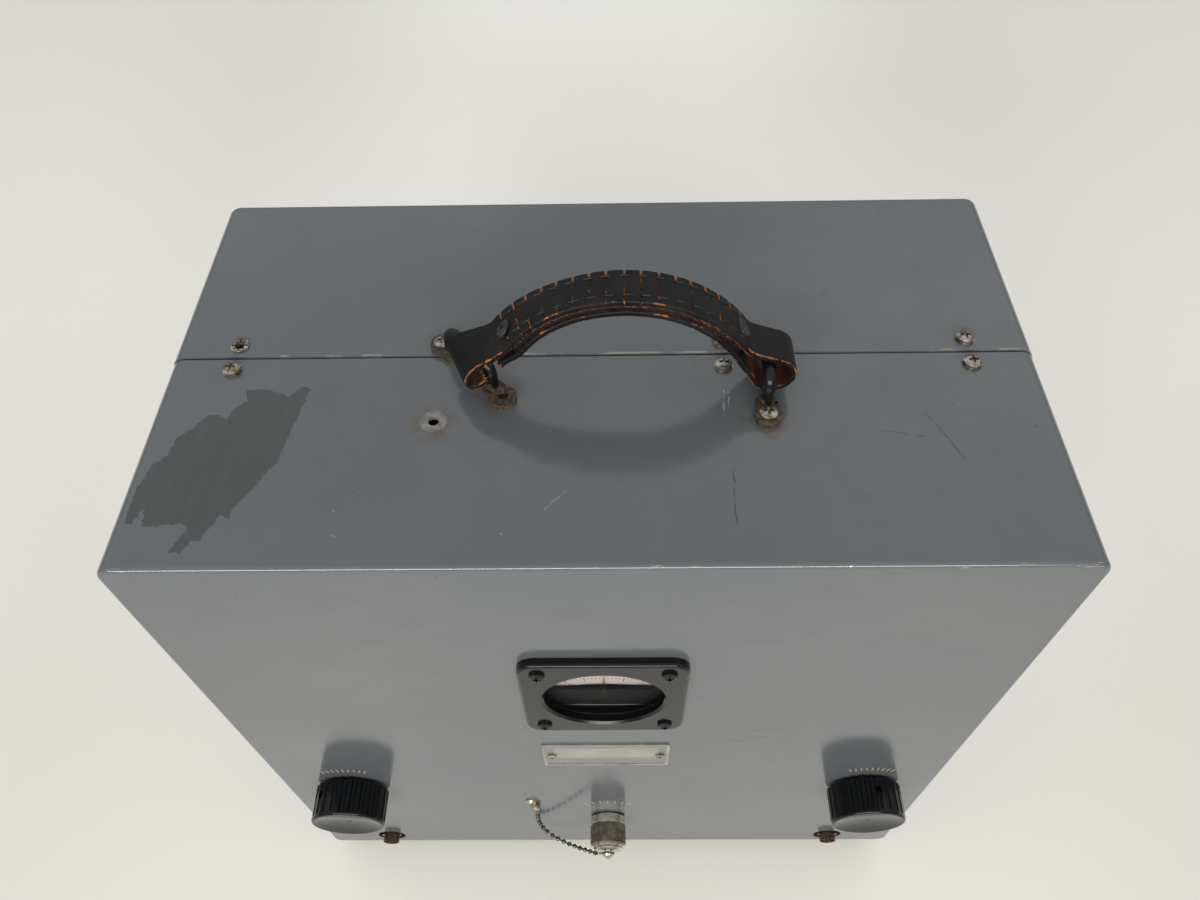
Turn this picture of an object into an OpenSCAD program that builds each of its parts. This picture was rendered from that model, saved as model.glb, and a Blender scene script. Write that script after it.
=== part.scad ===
// Vintage radio-frequency impedance bridge: two-shell steel case with a leather handle,
// two control knobs, a dial window, two test jacks and a capped load jack.

/* [Case] */
// Width of the case
case_w = 348; // [336:1:380]
// Depth of the case, front panel to back
case_d = 197; // [190:1:230]
// Height of the case without its feet
case_h = 345; // [325:1:380]
// Thickness of the sheet steel
sheet = 1.6; // [1.2:0.1:1.8]
// Radius of the four long edges, which run from front to back
corner_r = 6; // [5:0.5:8]
// Outside radius of the bend round the front panel
front_bend = 2; // [2:0.1:4]
// Outside radius of the bend round the back
back_bend = 5; // [3:0.5:5]
// Depth of the seam between the two shells, from the panel
seam_depth = 98; // [92:1:110]
// Width of the open seam
seam_gap = 1; // [0.6:0.1:1.6]
// How far the rear shell stands proud of the front one
rear_proud = 0.3; // [0.1:0.1:0.5]

/* [Feet] */
// Height of a rubber foot
foot_h = 10; // [6:0.5:16]
// Diameter of a foot where it meets the case
foot_d = 22; // [16:1:30]
// Distance of the feet from the sides of the case
foot_inset = 30; // [20:1:60]

/* [Seam screws] */
// Distance between neighbouring screws along the top and bottom
seam_pitch_x = 98; // [80:1:104]
// Distance between neighbouring screws along the sides
seam_pitch_z = 110; // [80:1:130]
// Distance of each row of screws from the seam
seam_row = 6.6; // [6:0.1:9]
// Diameter of a screw head
screw_head_d = 6.9; // [6:0.1:8]
// Height of a screw head
screw_head_h = 2.3; // [1.8:0.1:3]
// Diameter of a screw shank
screw_d = 3.5; // [3:0.1:4]
// Outside diameter of a lock washer
washer_d = 7.6; // [7:0.1:9]
// Thickness of a lock washer
washer_t = 0.7; // [0.5:0.1:1]

/* [Handle] */
// Sideways distance of each bracket from the middle of the case
bracket_x = 63.5; // [58:0.5:70]
// Depth of a bracket's front screw, from the panel
bracket_front = 64.6; // [58:0.2:70]
// Distance between a bracket's two screws
bracket_span = 38.4; // [36:0.2:44]
// Diameter of the bracket rod
rod_d = 5; // [4:0.1:5.2]
// Height of the rod's axis over the case
rod_h = 15; // [14.5:0.1:18]
// Width of a bracket foot
bracket_foot_w = 10.3; // [9:0.1:12]
// Thickness of a bracket foot
bracket_foot_t = 2.5; // [1.5:0.1:3]
// Angle by which the loose left bracket has swung on its rear screw
bracket_swing = 43; // [38:0.5:48]
// Width of the leather strap
strap_w = 16.5; // [14:0.5:20]
// Thickness of the wrapped outer leather
leather_t = 2.6; // [2:0.1:3]
// Thickness of the leather between the outer layers
core_t = 2.4; // [1.5:0.1:3]
// Radius of the arch, to the top of the leather
arch_r = 55.2; // [52:0.2:58]
// How far the arch's middle lies below the middle of the loops
arch_drop = 15.8; // [14:0.2:17]
// Inside radius of the loops round the brackets
loop_r = 6.2; // [5.8:0.1:7]
// Angle by which the left end of the strap is twisted
strap_twist = 20; // [10:1:24]

/* [Dial window] */
// Width and height of the window bezel
bezel_w = 70.5; // [68:0.5:80]
// Thickness of the bezel
bezel_t = 4; // [3.2:0.1:5]
// Radius of the bezel's corners
bezel_r = 8; // [5:0.5:10]
// Radius of the bezel's rounded front edge
bezel_edge = 1.6; // [0.8:0.1:2.4]
// Diameter of the round opening
window_d = 51.5; // [46:0.5:54]
// Distance of each bezel screw from the middle of the window, both ways
bezel_screw = 26.9; // [26:0.1:29]

/* [Knobs] */
// Sideways distance of each knob from the middle
knob_x = 137.2; // [130:0.2:140]
// Height of the knobs over the bottom of the case
knob_z = 111; // [104:1:120]
// Diameter of a knob
knob_d = 38.1; // [34:0.1:44]
// Length of a knob
knob_len = 18; // [16:0.5:24]
// Gap between a knob and the panel
knob_gap = 2; // [1.5:0.1:3]
// Number of flutes round a knob
flutes = 24; // [16:1:30]
// Diameter of the control shafts
shaft_d = 6.35; // [6:0.05:7]

/* [Dials and gears] */
// Module of the gear teeth
gear_module = 1.5; // [1.45:0.05:1.5]
// Teeth on each knob's pinion
pinion_teeth = 20; // [18:2:20]
// Teeth on each idler gear
idler_teeth = 40; // [36:4:40]
// Teeth on each dial gear
dial_teeth = 100; // [96:4:104]
// Width of the gear teeth
gear_face = 5; // [3:0.5:6]
// Backlash on the pitch circle
backlash = 0.15; // [0.1:0.01:0.3]
// Radius of the front dial, which carries the phase scale
phase_dial_r = 69; // [66:0.5:72]
// Radius of the rear dial, which carries the magnitude scale
magnitude_dial_r = 92; // [88:0.5:94]
// Thickness of a dial
dial_t = 1; // [0.8:0.1:1.5]
// Depth of the front dial's face behind the panel
dial_depth = 6.5; // [6.2:0.1:7.5]
// Thickness of the plate that carries the mechanism
deck_t = 3; // [2:0.5:4]
// Radial clearance of a running fit
running = 0.05; // [0.02:0.01:0.08]

/* [Jacks] */
// Sideways distance of the two test jacks from the middle
jack_x = 135.6; // [125:0.2:142]
// Height of the test jacks over the bottom of the case
jack_z = 13.5; // [12.5:0.1:16]
// Diameter of a test jack's barrel
jack_d = 9.6; // [9:0.1:10]
// Diameter of the clearance holes in the panel round the test jacks
jack_hole_d = 16.8; // [15:0.1:18]
// How far the test jacks stand out of the panel
jack_reach = 4; // [2:0.5:6]
// Height of the load jack over the bottom of the case
load_z = 54.5; // [50:0.5:56]
// Thread diameter of the load jack
load_d = 15.9; // [14:0.1:16.2]
// Diameter of the hole in the panel round the load jack
load_hole_d = 19; // [18:0.1:21]
// Diameter of the screw cap on the load jack
cap_d = 19.8; // [18.8:0.1:22]
// Length of the screw cap
cap_len = 18.5; // [16:0.5:21]
// Gap between the cap and the panel
cap_gap = 1; // [0.5:0.1:2]
// Diameter of a chain bead
bead_d = 2.6; // [2.2:0.1:3]
// Number of beads on the chain
beads = 16; // [14:1:17]

/* [Nameplate] */
// Width of the bare nameplate
plate_w = 62.5; // [50:0.5:70]
// Height of the nameplate
plate_h = 29; // [20:0.5:32]
// Height of the nameplate's middle over the bottom of the case
plate_z = 161.5; // [150:0.5:164]
// Thickness of the nameplate
plate_t = 0.8; // [0.5:0.1:1.2]

/* [Hidden] */
$fn = 48;

slip = 0.02;
seat = 0.3;
thread_gap = 0.1;
front_reach = knob_gap + knob_len;
panel_y = (front_reach - case_d) / 2;
mid_h = case_h / 2;
front_depth = seam_depth - seam_gap / 2;
rear_depth = case_d - seam_depth - seam_gap / 2;
hole_r = screw_d / 2 + 0.35;
tapped_r = screw_d / 2 + thread_gap;

// Chassis behind the panel, as depths from the panel's face
frame_front = seam_depth - 14;
frame_back = seam_depth + 14;
web_t = 2;
web_depth = seam_depth + 6;
hub_l = 2.5;
phase_back = dial_depth + dial_t;
rear_dial_face = phase_back + 1.5;
rear_dial_back = rear_dial_face + dial_t;
front_gears = rear_dial_back + hub_l + 0.5;
deck_depth = front_gears + gear_face + 6;
deck_back = deck_depth + deck_t;
rear_gears = deck_back + 6;
bridge_depth = rear_gears + gear_face + 6;
bridge_t = 3;
jack_deck = 9;
jack_deck_t = 2.5;
deck_margin = 12;
deck_w = case_w - 2 * sheet - 2 * deck_margin;
deck_low = 6;

// Gear train: pinion, idler and dial gear in one line on each side
function pitch_r(z) = gear_module * z / 2;
train = pitch_r(pinion_teeth) + 2 * pitch_r(idler_teeth) + pitch_r(dial_teeth);
dial_z = knob_z + sqrt(train * train - knob_x * knob_x);
train_angle = atan2(knob_z - dial_z, knob_x);
idler_off = pitch_r(dial_teeth) + pitch_r(idler_teeth);
idler_x = idler_off * cos(train_angle);
idler_z = dial_z + idler_off * sin(train_angle);
window_z = dial_z + 67.2;
sleeve_r = shaft_d / 2 + running + 1.8;
bushing_r = sleeve_r + running + 3;
bridge_leg = pitch_r(dial_teeth) + gear_module + 8;
deck_top = dial_z + bridge_leg + 12;

// Handle profile, as [sideways from the arch's middle, height over the case]
handle_mid = 9.2;
strap_depth = bracket_front + bracket_span / 2;
leg_span = bracket_span - screw_head_d - rod_d - 2 * seat;
handle_lift = 3;
arch_top_r = arch_r - leather_t / 2;
arch_under_r = arch_r - leather_t * 3 / 2 - core_t;
loop_mid_r = loop_r + leather_t / 2;
loop_x = bracket_x + 2 - handle_mid;
loop_h = rod_h + rod_d / 2 + seat - loop_r;
arch_low = loop_h - arch_drop;
split_angle = 33;
loop_start = 63;
loop_end = -141;

module in_panel() {
    translate([0, panel_y, foot_h]) rotate([90, 0, 0]) children();
}

module rounded_square(w, h, r) {
    square([w, h - 2 * r], center = true);
    square([w - 2 * r, h], center = true);
    for (x = [-1, 1], y = [-1, 1]) translate([x * (w / 2 - r), y * (h / 2 - r)]) circle(r);
}

// Carries an edge profile round a rectangle with rounded corners
module round_edge(w, h, r) {
    for (k = [0 : 3]) {
        a = (k % 2 == 0 ? w : h) / 2 - r;
        b = (k % 2 == 0 ? h : w) / 2 - r;
        rotate(90 * k) translate([a, b, 0]) {
            rotate_extrude(angle = 90) children();
            rotate([90, 0, 0]) linear_extrude(2 * b) children();
        }
    }
}

module bent_wall(r, bend, depth) {
    translate([r - sheet, bend]) square([sheet, depth - bend]);
    square([r - bend, sheet]);
    intersection() {
        translate([r - bend, bend]) difference() {
            circle(bend);
            circle(bend - sheet);
        }
        translate([r - bend, 0]) square(bend);
    }
}

// Open pan of bent sheet with its floor on z = 0
module pan(w, h, r, bend, depth) {
    round_edge(w, h, r) bent_wall(r, bend, depth);
    translate([r - w / 2, r - h / 2, 0]) cube([w - 2 * r, h - 2 * r, sheet]);
}

module slab_edge(r, edge, t) {
    square([r - edge, t]);
    square([r, t - edge]);
    translate([r - edge, t - edge]) circle(edge);
}

module pan_head(head_d, head_h) {
    dome_r = head_d * 0.8;
    difference() {
        rotate_extrude() intersection() {
            square([head_d / 2, head_h]);
            translate([0, head_h - dome_r]) circle(dome_r);
        }
        for (a = [0, 90]) rotate(a) {
            translate([-head_d * 0.27, -head_d * 0.075, head_h * 0.4]) cube([head_d * 0.54, head_d * 0.15, head_h]);
        }
    }
}

module pan_screw(length, head_d = screw_head_d, head_h = screw_head_h, d = screw_d) {
    pan_head(head_d, head_h);
    translate([0, 0, -length]) cylinder(d = d, h = length);
}

module tube(r_out, r_in, h) {
    difference() {
        cylinder(r = r_out, h = h);
        translate([0, 0, -1]) cylinder(r = r_in, h = h + 2);
    }
}

// Places things on the outside of a wall, with z pointing out of it
module on_wall(side, along, depth, proud) {
    if (side == "top") translate([along, case_h + proud, -depth]) rotate([-90, 0, 0]) children();
    if (side == "bottom") translate([along, -proud, -depth]) rotate([90, 0, 0]) children();
    if (side == "left") translate([-case_w / 2 - proud, along, -depth]) rotate([0, -90, 0]) children();
    if (side == "right") translate([case_w / 2 + proud, along, -depth]) rotate([0, 90, 0]) children();
}

function seam_spots() = concat(
    [for (side = ["top", "bottom"], k = [-1.5 : 1.5]) [side, k * seam_pitch_x]],
    [for (side = ["left", "right"], k = [-1 : 1]) [side, mid_h + k * seam_pitch_z]]
);
lost_screw = ["top", -1.5 * seam_pitch_x];

module seam_row_places(rear) {
    for (spot = seam_spots()) {
        depth = seam_depth + (rear ? seam_row : -seam_row);
        on_wall(spot[0], spot[1], depth, rear ? rear_proud : 0) children();
    }
}

module bracket_holes(depth, proud) {
    for (x = [-bracket_x, bracket_x]) on_wall("top", x, depth, proud) {
        translate([0, 0, -10]) cylinder(r = hole_r, h = 20);
    }
}

module foot_places(rear) {
    foot_row = foot_inset + foot_d / 2;
    for (x = [-1, 1]) {
        depth = rear ? case_d - foot_row : foot_row;
        on_wall("bottom", x * (case_w / 2 - foot_row), depth, rear ? rear_proud : 0) children();
    }
}

module seam_drill(rear) {
    seam_row_places(rear) translate([0, 0, -5]) cylinder(r = hole_r, h = 10);
    foot_places(rear) translate([0, 0, -5]) cylinder(r = hole_r, h = 10);
}

module front_shell() {
    color("slategray") in_panel() difference() {
        translate([0, mid_h, 0]) mirror([0, 0, 1]) pan(case_w, case_h, corner_r, front_bend, front_depth);
        seam_drill(false);
        bracket_holes(bracket_front, 0);
        translate([0, window_z, -sheet - 1]) cylinder(d = window_d + 4.6, h = sheet + 2);
        for (x = [-bezel_screw, bezel_screw], y = [-bezel_screw, bezel_screw]) {
            translate([x, window_z + y, -sheet - 1]) cylinder(r = hole_r, h = sheet + 2);
        }
        for (x = [-knob_x, knob_x]) translate([x, knob_z, -sheet - 1]) cylinder(r = shaft_d / 2 + 3, h = sheet + 2);
        for (x = [-jack_x, jack_x]) translate([x, jack_z, -sheet - 1]) cylinder(d = jack_hole_d, h = sheet + 2);
        translate([0, load_z, -sheet - 1]) cylinder(d = load_hole_d, h = sheet + 2);
        for (x = [-1, 1]) translate([x * plate_screw_x, plate_z, -sheet - 1]) cylinder(r = plate_hole_r, h = sheet + 2);
        translate([lug_x, lug_z, -sheet - 1]) cylinder(r = lug_rivet_r + slip, h = sheet + 2);
    }
}

module rear_shell() {
    color("slategray") in_panel() difference() {
        translate([0, mid_h, -case_d]) {
            pan(case_w + 2 * rear_proud, case_h + 2 * rear_proud, corner_r, back_bend, rear_depth);
        }
        seam_drill(true);
        bracket_holes(bracket_front + bracket_span, rear_proud);
    }
}

// Ring that both shells screw to, with the cross wall that carries the mechanism
module chassis_frame() {
    frame_w = case_w - 2 * sheet - 2 * slip;
    frame_h = case_h - 2 * sheet - 2 * slip;
    frame_r = corner_r - sheet;
    color("lightgray") in_panel() difference() {
        union() {
            translate([0, mid_h, -frame_back]) linear_extrude(frame_back - frame_front) difference() {
                rounded_square(frame_w, frame_h, frame_r);
                rounded_square(frame_w - 2 * sheet, frame_h - 2 * sheet, frame_r - sheet);
            }
            translate([0, mid_h, -web_depth - web_t]) linear_extrude(web_t) difference() {
                rounded_square(frame_w - sheet, frame_h - sheet, frame_r - sheet / 2);
                for (x = [-1, 1]) translate([x * frame_w * 0.3, frame_h * 0.36]) circle(r = frame_h * 0.07);
            }
        }
        for (rear = [false, true]) seam_row_places(rear) translate([0, 0, -10]) cylinder(r = tapped_r, h = 20);
        for (x = [-bracket_x, bracket_x]) on_wall("top", x, bracket_front + bracket_span, 0) {
            translate([0, 0, -10]) cylinder(r = tapped_r, h = 20);
        }
        post_places() translate([0, 0, -web_depth - 5]) cylinder(r = hole_r, h = 10);
        for (k = [0 : line_screws - 1]) line_screw(k) translate([0, 0, -web_depth - 5]) cylinder(r = hole_r, h = 10);
    }
}

post_d = 10;
post_x = deck_w / 2 - post_d;
post_low = deck_low + 34;
post_high = deck_top - post_d;
module post_places() {
    for (x = [-post_x, post_x], y = [post_low, post_high]) translate([x, y, 0]) children();
}

spacer_z = load_z + 4;
spacer_x = [jack_x * 0.45, jack_x * 0.8];
spacer_d = 8;
module spacer_places() {
    for (s = [-1, 1], x = spacer_x) translate([s * x, spacer_z, 0]) children();
}

module deck_plate() {
    color("silver") in_panel() translate([0, 0, -deck_back]) difference() {
        translate([-deck_w / 2, deck_low, 0]) cube([deck_w, deck_top - deck_low, deck_t]);
        for (x = [-knob_x, knob_x]) translate([x, knob_z, -1]) cylinder(r = bush_out + slip, h = deck_t + 2);
        translate([0, dial_z, -1]) cylinder(r = bushing_r + slip, h = deck_t + 2);
        translate([-idler_x, idler_z, -1]) cylinder(r = shaft_d / 2 + slip, h = deck_t + 2);
        translate([idler_x, idler_z, -1]) cylinder(r = shaft_d / 2 + running, h = deck_t + 2);
        post_places() translate([0, 0, -1]) cylinder(r = hole_r, h = deck_t + 2);
    }
}

module deck_posts() {
    color("gainsboro") in_panel() post_places() {
        translate([0, 0, -web_depth]) tube(post_d / 2, tapped_r, web_depth - deck_back);
    }
}

module post_screws() {
    grip = 12;
    color("darkgray") in_panel() post_places() {
        translate([0, 0, -deck_depth]) pan_screw(grip + deck_t);
        translate([0, 0, -web_depth - web_t]) rotate([180, 0, 0]) pan_screw(grip + web_t);
    }
}

jack_plate_top = load_z + 17;
module jack_plate() {
    color("silver") in_panel() translate([0, 0, -jack_deck - jack_deck_t]) difference() {
        translate([-deck_w / 2, deck_low - 2, 0]) cube([deck_w, jack_plate_top - deck_low + 2, jack_deck_t]);
        for (x = [-jack_x, jack_x]) translate([x, jack_z, -1]) cylinder(r = jack_neck_r + slip, h = jack_deck_t + 2);
        translate([0, load_z, -1]) cylinder(r = load_neck_r + slip, h = jack_deck_t + 2);
    }
}

module jack_plate_spacers() {
    color("gainsboro") in_panel() spacer_places() {
        translate([0, 0, -deck_depth]) cylinder(d = spacer_d, h = deck_depth - jack_deck - jack_deck_t);
    }
}

// Bracket behind the rear dial gear that holds the far end of the phase shaft
bridge_w = 30;
module bearing_bridge() {
    leg_t = bridge_t;
    color("silver") in_panel() translate([0, dial_z, 0]) difference() {
        union() {
            translate([-bridge_w / 2, -bridge_leg, -bridge_depth - bridge_t]) {
                cube([bridge_w, 2 * bridge_leg, bridge_t]);
            }
            for (s = [-1, 1]) {
                translate([-bridge_w / 2, s * (bridge_leg - leg_t / 2) - leg_t / 2, -bridge_depth - bridge_t]) {
                    cube([bridge_w, leg_t, bridge_depth + bridge_t - deck_back]);
                }
            }
        }
        translate([0, 0, -bridge_depth - bridge_t - 1]) cylinder(r = shaft_d / 2 + running, h = bridge_t + 2);
    }
}

module dial_bushing() {
    flange = 2;
    color("darkgoldenrod") in_panel() translate([0, dial_z, -deck_back - flange]) {
        difference() {
            union() {
                cylinder(r = bushing_r, h = deck_t + 2 * flange);
                cylinder(r = bushing_r + 3, h = flange);
            }
            translate([0, 0, -1]) cylinder(r = sleeve_r + running, h = deck_t + 2 * flange + 2);
        }
    }
}

bush_out = shaft_d / 2 + 2.4;
module shaft_bushings() {
    flange = 2;
    color("darkgoldenrod") in_panel() for (x = [-knob_x, knob_x]) {
        translate([x, knob_z, -deck_back - flange]) difference() {
            union() {
                cylinder(r = bush_out, h = deck_t + 2 * flange);
                cylinder(r = bush_out + 2.5, h = flange);
            }
            translate([0, 0, -1]) cylinder(r = shaft_d / 2 + running, h = deck_t + 2 * flange + 2);
        }
    }
}

foot_recess = 4;
module rubber_foot(h) {
    difference() {
        cylinder(d1 = foot_d, d2 = foot_d * 0.82, h = h);
        translate([0, 0, h - foot_recess]) cylinder(d = screw_head_d + 2, h = foot_recess + 1);
        translate([0, 0, -1]) cylinder(r = hole_r, h = h + 2);
    }
}

module rubber_feet() {
    color([0.12, 0.12, 0.12]) in_panel() {
        foot_places(false) rubber_foot(foot_h);
        foot_places(true) rubber_foot(foot_h - rear_proud);
    }
}

module foot_screws() {
    color("silver") in_panel() {
        foot_places(false) translate([0, 0, foot_h - foot_recess]) pan_screw(foot_h - foot_recess + sheet + 3);
        foot_places(true) translate([0, 0, foot_h - rear_proud - foot_recess]) {
            pan_screw(foot_h - foot_recess + sheet + 3);
        }
    }
}

seam_screw_l = washer_t + 2 * sheet + 3;
module seam_screws() {
    color("lightgray") in_panel() {
        seam_row_places(false) translate([0, 0, washer_t]) pan_screw(seam_screw_l);
        for (spot = seam_spots()) if (spot != lost_screw) {
            on_wall(spot[0], spot[1], seam_depth + seam_row, rear_proud) {
                translate([0, 0, washer_t]) pan_screw(seam_screw_l + rear_proud);
            }
        }
    }
}

module lock_washer() {
    teeth = 8;
    slot_w = 0.6;
    rim = 0.7;
    difference() {
        cylinder(d = washer_d, h = washer_t);
        translate([0, 0, -1]) cylinder(r = hole_r, h = washer_t + 2);
        for (k = [0 : teeth - 1]) rotate(360 * k / teeth) {
            translate([0, -slot_w / 2, -1]) cube([washer_d / 2 - rim, slot_w, washer_t + 2]);
        }
    }
}

module seam_washers() {
    color("silver") in_panel() for (rear = [false, true]) seam_row_places(rear) lock_washer();
}

module elbow(bend) {
    rotate_extrude(angle = 90) translate([bend, 0]) circle(d = rod_d);
}

// Rod loop with two flat feet: the origin is the rear screw, z points up, y towards the front
module rod_loop() {
    bend = rod_d + 1;
    leg_front = (bracket_span + leg_span) / 2;
    leg_rear = (bracket_span - leg_span) / 2;
    for (y = [0, bracket_span]) {
        inner = y == 0 ? leg_rear : leg_front;
        difference() {
            linear_extrude(bracket_foot_t) {
                translate([0, y]) circle(d = bracket_foot_w);
                translate([0, inner]) circle(d = bracket_foot_w * 0.8);
                translate([-bracket_foot_w * 0.4, min(y, inner)]) square([bracket_foot_w * 0.8, abs(inner - y)]);
            }
            translate([0, y, -1]) cylinder(r = hole_r, h = bracket_foot_t + 2);
        }
    }
    for (y = [leg_rear, leg_front]) {
        translate([0, y, bracket_foot_t / 2]) cylinder(d = rod_d, h = rod_h - bend - bracket_foot_t / 2);
    }
    translate([0, leg_rear + bend, rod_h]) rotate([-90, 0, 0]) cylinder(d = rod_d, h = leg_span - 2 * bend);
    translate([0, leg_rear + bend, rod_h - bend]) rotate([90, 0, 90]) rotate(90) elbow(bend);
    translate([0, leg_front - bend, rod_h - bend]) rotate([90, 0, 90]) elbow(bend);
}

module bracket_place(x, swing) {
    on_wall("top", x, bracket_front + bracket_span, rear_proud) rotate(swing) mirror([0, 1, 0]) children();
}

module left_bracket() {
    color([0.16, 0.13, 0.11]) in_panel() bracket_place(-bracket_x, bracket_swing) rod_loop();
}

module right_bracket() {
    color([0.12, 0.11, 0.11]) in_panel() bracket_place(bracket_x, 0) rod_loop();
}

bracket_screw_l = bracket_foot_t + 2 * sheet + 3;
module bracket_screws() {
    color("lightgray") in_panel() {
        for (x = [-bracket_x, bracket_x]) bracket_place(x, 0) {
            translate([0, 0, bracket_foot_t]) pan_screw(bracket_screw_l);
        }
        bracket_place(bracket_x, 0) translate([0, bracket_span, bracket_foot_t]) pan_screw(bracket_screw_l);
    }
}

module bracket_nut() {
    nut_t = 2.4;
    color("silver") in_panel() on_wall("top", bracket_x, bracket_front, -sheet - nut_t) difference() {
        cylinder(d = 7.9, h = nut_t, $fn = 6);
        translate([0, 0, -1]) cylinder(r = tapped_r, h = nut_t + 2);
    }
}

function arch_point(r, a) = [r * cos(a), arch_low + r * sin(a)];
function loop_point(a) = [loop_x + loop_mid_r * cos(a), loop_h + loop_mid_r * sin(a)];
function bezier(p, q, r, s, t) =
    pow(1 - t, 3) * p + 3 * t * pow(1 - t, 2) * q + 3 * t * t * (1 - t) * r + pow(t, 3) * s;
dip = 4;
top_end = arch_point(arch_top_r, split_angle);
top_heading = [sin(split_angle), -cos(split_angle)];
loop_begin = loop_point(loop_start);
loop_heading = [sin(loop_start), -cos(loop_start)];
under_end = arch_point(arch_under_r, split_angle);

// Middle line of the outer leather on the right half, from the crown round the loop and back
right_half = concat(
    [for (a = [90 : -6 : split_angle + 3]) arch_point(arch_top_r, a)],
    [for (t = [0 : 0.2 : 0.8]) bezier(top_end, top_end + dip * top_heading,
        loop_begin - dip * loop_heading, loop_begin, t)],
    [for (a = [loop_start : -17 : loop_end]) loop_point(a)],
    [for (t = [0.25 : 0.25 : 1]) loop_point(loop_end) * (1 - t) + under_end * t],
    [for (a = [split_angle + 3 : 6 : 90]) arch_point(arch_under_r, a)]
);
last = len(right_half) - 1;
band = concat(right_half, [for (i = [last - 1 : -1 : 1]) [-right_half[i][0], right_half[i][1]]]);

function smooth(t) = let (c = min(1, max(0, t))) c * c * (3 - 2 * c);
function twist_share(p) = smooth((atan2(-p[0], p[1] - arch_low) - 14) / 50);

// The swung bracket props up the left loop, which has gone flat at its front edge
left_rise = 4;
slump_lean = 38;
slump_share = 0.55;
slump_reach = 21;
function slump(p, across) =
    let (
        away = p - [-loop_x, loop_h],
        thin = [-cos(slump_lean), sin(slump_lean)],
        near = smooth((slump_reach - norm(away)) / 10)
    )
    p - thin * (away * thin) * slump_share * near * (0.5 + across / strap_w);
function heading(path, i) =
    let (n = len(path), d = path[(i + 1) % n] - path[(i + n - 1) % n]) d / norm(d);

// Turns a point of the profile, offset along its normal and across the strap, into panel axes
function strap_point(p, normal, lift, across) =
    let (turn = strap_twist * twist_share(p), shift = -3 * twist_share(p), q = slump(p, across))
    [
        handle_mid + q[0] + normal[0] * lift + across * sin(turn),
        case_h + q[1] + normal[1] * lift + left_rise * twist_share(p),
        across * cos(turn) - strap_depth - shift
    ];

function ring(p, d, half_t) = [
    for (c = [[1, 1], [1, -1], [-1, -1], [-1, 1]])
        strap_point(p, [-d[1], d[0]], c[0] * half_t, c[1] * strap_w / 2)
];
// Facing sides of two layers share one diagonal, so a twisted layer keeps its distance from the next
function wall_faces(n, closed) = [
    for (i = [0 : closed ? n - 1 : n - 2], k = [0 : 3])
        let (a = 4 * i + k, b = 4 * i + (k + 1) % 4, j = 4 * ((i + 1) % n), c = j + k, d = j + (k + 1) % 4)
        each closed && k == 2 ? [[a, b, d], [a, d, c]] : [[a, b, c], [b, d, c]]
];

module handle_cover() {
    n = len(band);
    rings = [for (i = [0 : n - 1]) each ring(band[i], heading(band, i), leather_t / 2)];
    leg = (bracket_span + leg_span) / 2;
    tear = (strap_w / 2 + 2) * [-sin(bracket_swing - strap_twist), cos(bracket_swing - strap_twist)];
    color([0.10, 0.09, 0.09]) in_panel() difference() {
        polyhedron(rings, wall_faces(n, true));
        bracket_place(-bracket_x, bracket_swing) {
            for (end = [[0, -handle_lift], tear]) hull() for (at = [[0, 0], end]) translate([at[0], leg + at[1], 1]) {
                cylinder(r = rod_d / 2 + 0.8, h = rod_h + 6);
            }
            hull() for (z = [rod_h - handle_lift, rod_h]) translate([0, leg - leg_span, z]) {
                rotate([-90, 0, 0]) cylinder(r = rod_d / 2 + 0.4, h = leg_span);
            }
        }
    }
}

module handle_core() {
    core_r = arch_r - leather_t - core_t / 2;
    first = 180 - split_angle - 3;
    n = floor((first - split_angle) / 6) + 1;
    rings = [
        for (i = [0 : n - 1])
            let (a = first - 6 * i) each ring(arch_point(core_r, a), [sin(a), -cos(a)], core_t / 2 - 0.1)
    ];
    caps = [[0, 2, 1], [0, 3, 2], [4 * n - 4, 4 * n - 3, 4 * n - 2], [4 * n - 4, 4 * n - 2, 4 * n - 1]];
    color([0.45, 0.24, 0.12]) in_panel() polyhedron(rings, concat(wall_faces(n, false), caps));
}

module handle_rivets() {
    rivet_r = 2.2;
    grip = 2 * leather_t + core_t;
    color([0.2, 0.18, 0.16]) in_panel() for (s = [-1, 1]) {
        lean = s * (90 - split_angle - 4);
        base = strap_point(arch_point(arch_r, 90 - lean), [0, 0], 0, 0);
        translate(base) rotate(-lean) rotate([-90, 0, 0]) {
            translate([0, 0, -grip - 0.4]) cylinder(r = rivet_r, h = grip + 0.6);
            translate([0, 0, -0.2]) cylinder(r1 = rivet_r * 2, r2 = rivet_r * 1.6, h = 0.7);
            translate([0, 0, -grip - 0.9]) cylinder(r = rivet_r * 1.7, h = 0.7);
        }
    }
}

module bezel_screw_places() {
    for (x = [-bezel_screw, bezel_screw], y = [-bezel_screw, bezel_screw]) {
        translate([x, window_z + y, 0]) children();
    }
}

bezel_head_d = 6.6;
module window_bezel() {
    color([0.05, 0.05, 0.06]) in_panel() difference() {
        translate([0, window_z, 0]) {
            round_edge(bezel_w, bezel_w, bezel_r) slab_edge(bezel_r, bezel_edge, bezel_t);
            translate([bezel_r - bezel_w / 2, bezel_r - bezel_w / 2, 0]) {
                cube([bezel_w - 2 * bezel_r, bezel_w - 2 * bezel_r, bezel_t]);
            }
        }
        translate([0, window_z, -1]) cylinder(d = window_d, h = bezel_t + 2);
        translate([0, window_z, bezel_t - 1]) cylinder(d1 = window_d, d2 = window_d + 2.2, h = 1.1);
        bezel_screw_places() translate([0, 0, -1]) cylinder(r = hole_r, h = bezel_t + 2);
    }
}

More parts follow.
